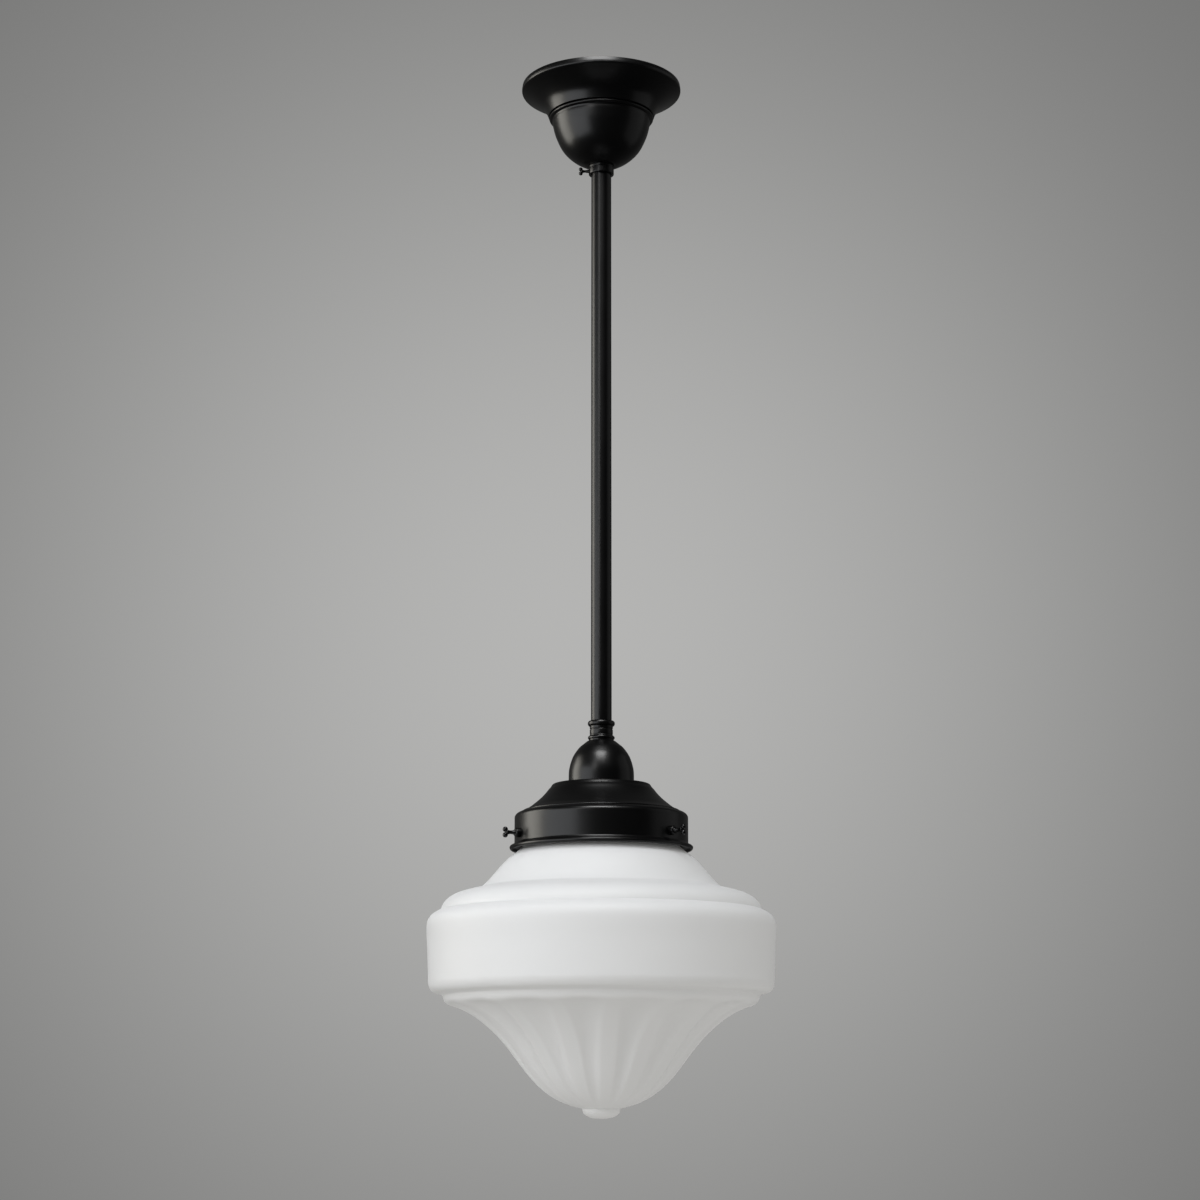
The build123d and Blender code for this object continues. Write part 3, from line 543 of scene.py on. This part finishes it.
class PENDANT_OT_canopy(bpy.types.Operator):
    """Build the canopy: trumpet flange, beaded cup and collar"""

    bl_idname = "pendant.canopy"
    bl_label = "Canopy"

    def execute(self, context):
        wall = settings()[1].sheet / MM
        black = black_finish()
        mouth, collar_hole = 31.1, 7.7
        rim = join_lines((51.75, 0.0), (52.15, -2.5),
                         arc((50.95, -3.2), 1.2, 1.3, 12, -52, 6))
        flare = smooth_line(
            [(51.3, -4.3), (49, -5.7), (46, -7.6), (43, -9.7), (40, -12.1), (37.8, -14.3),
             (36.3, -16.6), (35.35, -18.7), (34.6, -20.8)],
            6, (-0.8, -0.6), (-0.34, -1))
        outer = join_lines(rim, flare)
        inner = offset_line(outer, wall)[::-1]
        ledge = [(mouth, CUP_TOP), (mouth, CUP_TOP + wall)]
        inner = inner[(inner[:, 1] > CUP_TOP + wall + 0.1)]
        corner = (inner[0, 0], CUP_TOP + wall)
        section = join_lines(outer, ledge, corner, inner)
        place_piece(
            mesh_from("flange_shell", spin(round_corners(section, 0.25)), rings_closed=True),
            "canopy", ["canopy_flange"], black)

        bead = arc((32.0, -22.1), 2.15, 1.3, 90, -85, 14)
        side = smooth_line(
            [(32.0, -24.4), (31.45, -28), (30.6, -31.5), (28.2, -37.8), (25.6, -42.7),
             (21.0, -47.9), (16.2, -51.5), (11.9, -53.8), (9.5, COLLAR_TOP)],
            8, (0, -1), (-1, -0.2))
        outer = join_lines(bead, side, (collar_hole, COLLAR_TOP))
        inner = join_lines((collar_hole, COLLAR_TOP + wall), offset_line(side, wall)[::-1],
                           (mouth - 0.1, CUP_TOP))
        section = join_lines(outer, inner)
        place_piece(
            mesh_from("cup_shell", spin(round_corners(section, 0.12)), rings_closed=True),
            "canopy", ["canopy_cup"], black)

        bore, spigot, girth = 6.58, 7.6, 8.2
        spigot_top, groove = -50.6, -56.55
        ring = np.array([
            (bore, spigot_top), (spigot, spigot_top), (spigot, COLLAR_TOP),
            (girth, COLLAR_TOP), (girth, groove + 0.25), (girth - 0.25, groove),
            (girth, groove - 0.25), (girth, COLLAR_BOTTOM), (bore, COLLAR_BOTTOM)])
        place_piece(
            mesh_from("collar_ring", spin(round_corners(ring, 0.45, 5), steps=128),
                      rings_closed=True),
            "canopy", ["canopy_collar"], black)
        return {"FINISHED"}


class PENDANT_OT_rod(bpy.types.Operator):
    """Build the rod and the turned coupling under it"""

    bl_idname = "pendant.rod"
    bl_label = "Rod and coupling"

    def execute(self, context):
        radius = settings()[1].rod_radius / MM
        black = black_finish()
        tapped, bore, tapped_length, rows = 5.02, 4.5, 12, 28
        levels = np.linspace(ROD_TOP, ROD_BOTTOM, rows)
        outside = np.column_stack((np.full(rows, radius), levels))
        low_step, high_step = ROD_BOTTOM + tapped_length, ROD_TOP - tapped_length
        inside = [(tapped, ROD_BOTTOM), (tapped, low_step), (bore, low_step),
                  (bore, high_step), (tapped, high_step), (tapped, ROD_TOP)]
        section = join_lines(outside, inside)
        place_piece(
            mesh_from("rod_tube", spin(round_corners(section, 0.3), steps=96),
                      rings_closed=True),
            "hanger", ["rod"], black)

        neck = 7.25
        top_bead = arc((neck, -423.25), 1.25, 1.7, 90, -90, 14)
        upper_groove = arc((neck, -426.8), -0.3, 0.4, 90, -90, 6)
        lower_groove = arc((neck, -430.2), -0.2, 0.3, 90, -90, 6)
        low_bead = arc((neck, -432.2), 1.15, 1.25, 90, -60, 12)
        section = join_lines(
            (tapped, ROD_BOTTOM), top_bead, upper_groove, lower_groove, low_bead,
            (7.8, DOME_TOP), (tapped, DOME_TOP))
        place_piece(
            mesh_from("coupling_turned", spin(round_corners(section, 0.1), steps=128),
                      rings_closed=True),
            "hanger", ["coupling"], black)
        return {"FINISHED"}


class PENDANT_OT_gallery(bpy.types.Operator):
    """Build the dome, the spun gallery and the bosses on its band"""

    bl_idname = "pendant.gallery"
    bl_label = "Dome and gallery"

    def execute(self, context):
        wall = settings()[1].sheet / MM
        black = black_finish()
        nipple_hole = 5.1
        side = smooth_line(
            [(7.9, DOME_TOP), (10.7, -435.9), (13.4, -438.1), (15.4, -440.5), (17.4, -443.6),
             (18.7, -446.7), (19.6, -449.7), (20.25, -453.2), (20.4, -457.1),
             (20.4, PLATEAU)],
            8, (1, -0.35), (0, -1))
        outer = join_lines((nipple_hole, DOME_TOP), side)
        inner = offset_line(side, wall)[::-1]
        inner = inner[inner[:, 1] < DOME_TOP - wall - 0.05]
        section = join_lines(outer, inner, (inner[-1, 0] - 0.4, DOME_TOP - wall),
                             (nipple_hole, DOME_TOP - wall))
        place_piece(
            mesh_from("dome_bell", spin(round_corners(section, 0.2), steps=192),
                      rings_closed=True),
            "hanger", ["dome"], black)

        brow = arc((29.3, -463.4), 1.9, 1.9, 90, 38, 6)
        cone = smooth_line(
            [(31.6, -463.5), (32.6, -464.6), (34.2, -466.6), (36.1, -468.8), (38.2, -470.9),
             (42.2, -474.3), (46.1, -477.1), (48.0, -478.1)],
            6, (1, -1.35), (1, -0.55))
        bead = arc((48.45, -478.7), 0.55, 0.6, 60, -60, 6)
        shoulder = arc((48.8, -482.7), 5.2, 3.6, 88, 0, 14)
        band = [(54.0, -484.0), (54.0, -490.0), (54.0, -495.5)]
        lip = smooth_line(
            [(54.0, BAND_BOTTOM), (54.9, -499.4), (56.3, -500.0), (57.0, -500.9),
             (56.8, -501.9), (56.0, -502.7)],
            8, (0, -1), (-1, -0.5))
        outer = join_lines((nipple_hole, PLATEAU), (20.0, PLATEAU), brow, cone, bead, shoulder,
                           band, lip)
        inner_lip = offset_line(lip, wall)[::-1]
        inner_shoulder = offset_line(shoulder, wall)[::-1]
        inner_cone = offset_line(cone, wall)[::-1]
        inner = join_lines(inner_lip, inner_shoulder, inner_cone, (28.3, PLATEAU - wall),
                           (nipple_hole, PLATEAU - wall))
        section = join_lines(outer, inner)
        place_piece(
            mesh_from("gallery_shell", spin(round_corners(section, 0.14, 3)),
                      rings_closed=True),
            "hanger", ["gallery"], black)

        bore, girth, foot, top = 1.83, 2.9, 53.95, 57.2
        boss = np.array([(bore, foot), (girth, foot - 0.05), (girth, top - 0.6),
                         (girth - 0.6, top), (bore, top)])
        ring = spin(round_corners(boss, 0.3), steps=48)
        bosses = [lay_along(ring, angle, SCREW_HEIGHT) for angle in GALLERY_SCREW_ANGLES]
        place_piece(
            mesh_from("band_bosses", *bosses, rings_closed=True),
            "hanger", ["gallery_bosses"], black)
        return {"FINISHED"}


def thumbscrew(name, sizes, angle, height):
    """A thumbscrew's mesh, along a radius: thread and neck turned about the axis of the
    screw, and a head of two balls. Sizes are its radii and its places along the axis."""
    start, shoulder, head_centre = sizes["start"], sizes["shoulder"], sizes["head_centre"]
    radius, neck, lobe = sizes["radius"], sizes["neck"], sizes["lobe"]
    columns, chamfer, depth = 40, 0.4, 0.13 * radius
    core = radius - depth
    thread = threaded(radius, start + chamfer, shoulder, sizes["pitch"], depth, columns)
    tip = spin(np.array([(0.0, start), (0.62 * radius, start), (core, start + chamfer)]),
               columns)
    root = head_centre - lobe
    stem = smooth_line(
        [(core, shoulder), (neck * 1.15, shoulder + 0.35), (neck, shoulder + 1.0),
         (neck, root - 0.6), (neck * 1.2, root + 0.1), (neck * 1.25, root + 0.7),
         (neck * 0.7, root + 1.3)],
        5, (0, 1), (-1, 0.4))
    grid = capped(np.concatenate((tip[1:], thread, spin(stem, columns))))
    offset = sizes["head_height"] / 2 - lobe
    heads = [ball(lobe, across, head_centre) for across in (-offset, offset)]
    parts = [lay_along(part, angle, height) for part in (grid, *heads)]
    return mesh_from(name, *parts)


class PENDANT_OT_thumbscrews(bpy.types.Operator):
    """Build the thumbscrews of the gallery and of the canopy"""

    bl_idname = "pendant.thumbscrews"
    bl_label = "Thumbscrews"

    def execute(self, context):
        paint, metal = settings()[:2]
        finish = satin_paint("screw_black", paint.black, turned=0.1, rough=0.17)
        large = {
            "start": 47.8, "shoulder": 57.6, "radius": 1.75, "neck": 1.25, "pitch": 0.7,
            "head_centre": 63.4, "head_height": metal.head_height / MM, "lobe": 1.62}
        small = {
            "start": 6.6, "shoulder": 9.03, "radius": 1.2, "neck": 0.9, "pitch": 0.5,
            "head_centre": 13.4, "head_height": 5.4, "lobe": 1.3}
        for number, angle in enumerate(GALLERY_SCREW_ANGLES, 1):
            mesh = thumbscrew(f"thumbscrew_{number}_turned", large, angle, SCREW_HEIGHT)
            place_piece(mesh, f"thumbscrew_{number}",
                        [f"gallery_screw_{number}"], finish)
        mesh = thumbscrew("canopy_thumbscrew_turned", small, 180.0, CANOPY_SCREW_HEIGHT)
        place_piece(mesh, "canopy_thumbscrew", ["canopy_screw"], finish)
        return {"FINISHED"}


def flute_depths(share, azimuth, glass):
    """How far the glass is hollowed. Across a flute the hollow is one minus the square of the
    share of the way from its middle to its edge, with an exponential tail out on the rib.
    Down the glass it is a depth that fades to the finial, and it starts under an arch."""
    pitch = 2 * np.pi / glass.flutes
    ridge = -np.pi / 2 + glass.ridge_angle
    middle = np.abs(((azimuth - ridge) / pitch) % 1 - 0.5) * 2
    places = [0, 0.06, 0.24, 0.40, 0.55, 0.72, 1]
    half_width = np.interp(share, places, [0.72, 0.80, 0.66, 0.56, 0.50, 0.48, 0.46])
    side = middle / half_width
    bowl = 1 - side**2
    tail, faintest = 0.16, -30
    bowl = np.where(bowl > tail, bowl, tail * np.exp(np.clip(bowl / tail - 1, faintest, 0)))
    arch_top, arch_drop, arch_depth = 0.004, 0.034, 0.14
    arch = arch_top + arch_drop * (1 - np.sqrt(np.clip(1 - np.minimum(side, 1) ** 4, 0, 1)))
    rise = np.clip((share - arch) / arch_depth, 0, 1)
    rise = rise * rise * (3 - 2 * rise)
    depth = np.interp(share, places, [0.78, 0.84, 0.86, 0.77, 0.58, 0.34, 0.0])
    return glass.flute_depth / MM * depth * bowl * rise


STEPS_PER_FLUTE = 20


class PENDANT_OT_shade(bpy.types.Operator):
    """Build the glass: lipped neck, two shoulders, band, fluted cone and finial"""

    bl_idname = "pendant.shade"
    bl_label = "Glass shade"

    def execute(self, context):
        glass = settings()[2]
        wall = glass.wall / MM
        lip = join_lines(
            (48.0, FITTER_TOP), arc((49.6, -486.75), 0.9, 0.9, 90, 0, 6), (50.5, -487.15),
            smooth_line([(50.5, -487.15), (49.2, -489.2), (47.5, -491.65)], 4))
        neck = smooth_line(
            [(47.5, -491.65), (47.5, -497.65), (54.2, -505.3), (60.1, -510.3),
             (64.8, -515.6), (69.6, -521.2), (75.0, -526.25)],
            8, (0, -1), (1, -0.75))
        shoulder = smooth_line(
            [(75.0, -526.25), (83.9, -528.45), (92.3, -531.3), (97.3, -535.55),
             (99.0, -539.95)],
            8, (1, -0.3), (0.1, -1))
        step = smooth_line(
            [(99.0, -539.95), (102.35, -541.45), (106.4, -544.95), (107.8, -550.55)],
            8, (1, -0.22), (0, -1))
        band = smooth_line(
            [(107.8, -550.55), (107.3, -560.0), (106.85, -571.0), (106.4, -583.55)], 6,
            (0, -1), (-0.03, -1))
        edge = arc((101.5, -583.55), 4.9, 7.0, 0, -90, 14)
        ledge = smooth_line(
            [(101.5, -590.55), (98.6, -591.35), (97.3, CONE_TOP)], 6, (-1, -0.1), (-0.25, -1))
        upper = join_lines(lip, neck, shoulder, step, band, edge, ledge)
        ogee = smooth_line(
            [(97.3, CONE_TOP), (96.0, -595.93), (89.9, -599.03), (76.2, -606.05),
             (58.2, -622.99), (41.3, -644.05), (27.4, -654.72), (11.5, FINIAL_TOP)], 16,
            (-0.25, -1), (-1, -0.2))
        finial = join_lines(
            (11.5, -661.0), smooth_line([(11.5, -661.35), (9.2, -664.25), (0.0, -666.05)], 8,
                                        (0, -1), (-1, 0)))
        steps = glass.flutes * STEPS_PER_FLUTE
        azimuth = (np.arange(steps) * 2 * np.pi / steps)[None, :]
        length = np.r_[0, np.cumsum(np.linalg.norm(np.diff(ogee, axis=0), axis=1))]
        share = (length / length[-1])[:, None]
        hollow = flute_depths(share, azimuth, glass)
        along = np.gradient(ogee, axis=0)
        along /= np.linalg.norm(along, axis=1)[:, None]
        r = ogee[:, 0, None] + along[:, 1, None] * hollow
        z = ogee[:, 1, None] - along[:, 0, None] * hollow
        cone = np.stack((r * np.cos(azimuth), r * np.sin(azimuth), z), axis=2)

        # The inside keeps the wall from the outside, with fewer points and without flutes
        throat, foot, floor_sag = (44.3, FITTER_TOP), (96.3, -588.0), 0.6
        below_lip, below_foot, above_finial = 6, 34, -8
        deep = wall + glass.flute_depth / MM
        inner_ogee = offset_line(ogee, deep)[below_foot:above_finial:4]
        floor = inner_ogee[-1]
        inner = join_lines(
            throat, offset_line(neck, wall)[below_lip::2], offset_line(shoulder, wall)[::2],
            offset_line(step, wall)[::2], offset_line(band, wall)[::3],
            offset_line(edge, wall)[::2], foot, inner_ogee,
            smooth_line([floor, (0.0, floor[1] - floor_sag)], 6))
        grid = np.concatenate((
            spin(upper, steps)[:-1], cone, spin(finial, steps), spin(inner[::-1], steps)))
        place_piece(
            mesh_from("shade_glass", grid, rings_closed=True), "shade",
            ["glass_shade"], opal_glass("opal_glass", settings()[0].glass))
        return {"FINISHED"}


class PENDANT_OT_bulb(bpy.types.Operator):
    """Build the lamp bulb inside the glass"""

    bl_idname = "pendant.bulb"
    bl_label = "Bulb"

    def execute(self, context):
        middle, radius, wall = -570.9, 30.0, 0.8
        neck, neck_top = 12.55, -514.3
        side = smooth_line(
            [(neck, -517.3), (15.52, -532.3), (25.1, -553.75), (radius, middle)], 10,
            (0, -1), (0, -1))
        crown = arc((0.0, middle), radius, radius, 0, -90, 26)
        outer = join_lines((neck, neck_top), side, crown)
        inner_crown = arc((0.0, middle), radius - wall, radius - wall, -90, 0, 22)
        inner = join_lines(inner_crown, offset_line(side, wall)[::-1], (neck - wall, neck_top))
        place_piece(
            mesh_from("bulb_glass_pear", spin(join_lines(outer, inner), steps=160),
                      rings_closed=True),
            "bulb", ["bulb_envelope"],
            frosted_glass("bulb_white", (0.86, 0.86, 0.84)))

        pitch, depth, steps = 3.6, 1.0, 96
        sleeve = threaded(13.25, -516.6, -498.4, pitch, depth, steps, 14)[::-1]
        top = spin(np.array([(12.25, -498.2), (11.6, -497.3), (9.6, -496.0), (9.0, -495.3),
                             (8.5, -495.3)])[::-1], steps)
        foot = spin(np.array([(12.7, -517.0), (12.9, -517.3), (12.3, -517.3)]), steps)
        inside = spin(np.array([(11.7, -516.6), (11.7, -498.6), (8.5, -495.8)]), steps)
        place_piece(
            mesh_from("bulb_cap_threaded", np.concatenate((top, sleeve, foot, inside)),
                      rings_closed=True),
            "bulb", ["bulb_cap"],
            bare_metal("bulb_aluminium", (0.78, 0.78, 0.79), 0.3, brushed=0.3))
        return {"FINISHED"}


class PENDANT_OT_inner_parts(bpy.types.Operator):
    """Give the parts inside the canopy and the gallery their finishes"""

    bl_idname = "pendant.inner_parts"
    bl_label = "Inner parts"

    def execute(self, context):
        black = black_finish()
        finishes = {
            "black_paint": black,
            "black_screw": bpy.data.materials.get("screw_black") or black,
            "zinc_plate": bare_metal("zinc_plate", (0.62, 0.64, 0.66), 0.3),
            "plain_brass": bare_metal("plain_brass", (0.72, 0.55, 0.27), 0.28),
            "white_plastic": moulded("white_polyamide", (0.78, 0.78, 0.75), 0.42),
            "black_plastic": moulded("black_thermoset", (0.025, 0.025, 0.026), 0.26),
            "ceramic": moulded("porcelain", (0.8, 0.79, 0.75), 0.55, CERAMIC_HEIGHT),
            "opal_glass": bpy.data.materials.get("opal_glass") or black,
            "bulb_glass": bpy.data.materials.get("bulb_white") or black,
            "bulb_metal": bpy.data.materials.get("bulb_aluminium") or black,
            "black_glass": moulded("vitrite", (0.02, 0.02, 0.024), 0.12),
        }
        slots = {s["node"]: s["material_slot"] for s in frame["record"]["subparts"]}
        for node, piece in frame["nodes"].items():
            finish = finishes[slots.get(node, node)]
            if not piece.material_slots:
                piece.data.materials.append(finish)
            for material_slot in piece.material_slots:
                material_slot.material = finish
        return {"FINISHED"}


# Studio
def stage_surface(name, colour):
    """A matte surface of one colour, softly mottled."""
    f = Finish(bpy.data.materials.new(name))
    soft = f.noise(0.9, 2.0)
    fine = f.noise(260.0, 2.0)
    tone = f.mix(soft, rgb(colour, 0.95), rgb(colour, 1.05))
    return f.close(
        Base_Color=tone, Roughness=0.9, Specular_IOR_Level=0.1,
        Normal=f.bump(fine, GRIT_HEIGHT, 0.2))


def world_backdrop(colour, level):
    """The room: light from all round that is about twice as strong from below as from above,
    and a soft grey that the camera and the reflections see, lightest behind the object."""
    world = bpy.data.worlds.new("studio")
    bpy.context.scene.world = world
    f = Finish(world)
    world.cycles.sampling_method = "NONE"
    tree = f.tree
    path = tree.nodes.new("ShaderNodeLightPath")
    seen, glossy, through = [
        Wire(tree, path.outputs[f"Is {kind} Ray"]) for kind in ("Camera", "Glossy", "Transmission")]
    shown = (seen + glossy + through).clipped()
    direction = f.node("ShaderNodeTexCoord", output=0)
    past_object, half_up, falloff = (-0.012, 0.984, 0.178), (0.0, 0.0, 0.5), 30.0
    facing = f.node(
        "ShaderNodeVectorMath", {"operation": "DOT_PRODUCT"}, output=1,
        input_0=direction, input_1=past_object).clipped()
    backdrop = f.mix(facing ** falloff, rgb(colour, 0.3), rgb(colour))
    mirrored = f.mix(facing, rgb(colour, 0.03), rgb(colour, 0.2))
    height = f.node(
        "ShaderNodeVectorMath", {"operation": "DOT_PRODUCT"}, output=1,
        input_0=direction, input_1=half_up)
    below = rgb((1.0, 0.99, 0.965), 1.27 * level)
    above = rgb((1.0, 1.0, 1.0), 0.64 * level)
    light = f.mix(height + 0.5, below, above)
    tone = f.mix(shown, light, f.mix(glossy, backdrop, mirrored))
    back = f.node("ShaderNodeBackground", Color=tone, Strength=1.0)
    output = tree.nodes.new("ShaderNodeOutputWorld")
    tree.links.new(back.socket, output.inputs[0])


def soft_light(name, place, aim, power, wide, high, colour=(1, 1, 1)):
    """A rectangular light at a place, turned to face a point, that no surface mirrors."""
    data = bpy.data.lights.new(name, "AREA")
    data.shape = "RECTANGLE"
    data.size, data.size_y = wide, high
    data.energy = power
    data.color = colour
    light = bpy.data.objects.new(name, data)
    light.location = place
    light.rotation_euler = (Vector(aim) - Vector(place)).to_track_quat("-Z", "Y").to_euler()
    light.visible_glossy = False
    bpy.context.scene.collection.objects.link(light)
    return light


def mirrored_card(name, place, aim, glow, wide, high, colour=(1, 1, 1)):
    """A light that is seen only where a surface mirrors it, with an even glow."""
    card = soft_light(name, place, aim, glow * math.pi * wide * high, wide, high, colour)
    card.visible_glossy = True
    card.visible_diffuse = False
    card.visible_transmission = False


def studio_floor(colour):
    """A wide floor far below, that sends no light to the object and that nothing mirrors."""
    reach, level = 9.0, -2.35
    floor = bpy.data.meshes.new("studio_floor")
    floor.from_pydata(
        [(-reach, -reach, level), (reach, -reach, level), (reach, reach, level),
         (-reach, reach, level)], [], [(0, 1, 2, 3)])
    floor.materials.append(stage_surface("studio_grey", colour))
    ground = bpy.data.objects.new("studio_floor", floor)
    bpy.context.scene.collection.objects.link(ground)
    ground.visible_diffuse = False
    ground.visible_glossy = False


def photo_camera(distance):
    """A camera at the height of the finial, in front of the light, that looks up at it."""
    rise, turn = math.radians(11.16), math.radians(0.03)
    lens = bpy.data.cameras.new("photo_camera")
    lens.sensor_width = 36.0
    lens.lens = 77.3
    lens.clip_start = 0.05
    lens.clip_end = 60.0
    camera = bpy.data.objects.new("photo_camera", lens)
    camera.location = (0.0, -distance, -0.6598)
    camera.rotation_euler = (math.pi / 2 + rise, 0.0, turn)
    bpy.context.scene.collection.objects.link(camera)
    bpy.context.scene.camera = camera


class PENDANT_OT_stage(bpy.types.Operator):
    """Set up the backdrop, the floor, the lights and the camera"""

    bl_idname = "pendant.stage"
    bl_label = "Studio"

    def execute(self, context):
        stage = settings()[3]
        world_backdrop(stage.backdrop, stage.room)
        studio_floor(stage.backdrop)

        middle = (0.0, 0.0, -0.35)
        cool, warm = (0.94, 0.965, 1.0), (1.0, 0.97, 0.89)
        soft_light("key", (-1.3, -1.4, 0.3), middle, stage.key, 1.5, 1.5, cool)
        soft_light("top", (0.0, -0.75, 1.1), (0, 0, -0.5), stage.top, 1.0, 0.6, cool)
        right = soft_light("right", (1.77, 0.15, -0.2), middle, stage.right, 1.6, 2.2)
        right.visible_glossy = True
        glow = stage.cards
        mirrored_card("left_card", (-1.7, 0.32, -0.2), middle, 5.8 * glow, 1.0, 1.5, warm)
        mirrored_card("front_card", (-1.55, -1.05, -0.5), middle, 2.9 * glow, 1.7, 1.6, cool)
        mirrored_card("crown_card", (-0.05, -0.9, 0.98), (0, 0, -0.45), 18.0 * glow, 0.8, 0.7)
        mirrored_card("strip_card", (-0.72, -1.55, 0.32), (0, 0, -0.2), 4.2 * glow, 0.4, 0.75)

        photo_camera(stage.distance)
        context.scene.view_settings.view_transform = "Standard"
        return {"FINISHED"}


class PENDANT_PT_panel(bpy.types.Panel):
    """The pendant's settings and its builders, in the sidebar of the 3D view"""

    bl_idname = "PENDANT_PT_panel"
    bl_label = "Rod pendant light"
    bl_space_type = "VIEW_3D"
    bl_region_type = "UI"
    bl_category = "Pendant"

    def draw(self, context):
        layout = self.layout
        for group in settings():
            box = layout.box()
            for key in group.__annotations__:
                box.prop(group, key)
        for operator in OPERATORS:
            layout.operator(operator.bl_idname)


GROUPS = (
    ("pendant_paint", PendantPaint),
    ("pendant_metal", PendantMetal),
    ("pendant_glass", PendantGlass),
    ("pendant_stage", PendantStage),
)
OPERATORS = (
    PENDANT_OT_canopy,
    PENDANT_OT_rod,
    PENDANT_OT_gallery,
    PENDANT_OT_thumbscrews,
    PENDANT_OT_shade,
    PENDANT_OT_bulb,
    PENDANT_OT_inner_parts,
    PENDANT_OT_stage,
)


def register():
    for name, group in GROUPS:
        bpy.utils.register_class(group)
        setattr(bpy.types.Scene, name, PointerProperty(type=group))
    for operator in OPERATORS:
        bpy.utils.register_class(operator)
    bpy.utils.register_class(PENDANT_PT_panel)


def unregister():
    bpy.utils.unregister_class(PENDANT_PT_panel)
    for operator in reversed(OPERATORS):
        bpy.utils.unregister_class(operator)
    for name, group in reversed(GROUPS):
        delattr(bpy.types.Scene, name)
        bpy.utils.unregister_class(group)


def main():
    """Registers the add-on and builds every piece and the studio."""
    register()
    for operator in OPERATORS:
        group, name = operator.bl_idname.split(".")
        getattr(getattr(bpy.ops, group), name)()


if __name__ == "__main__":
    main()
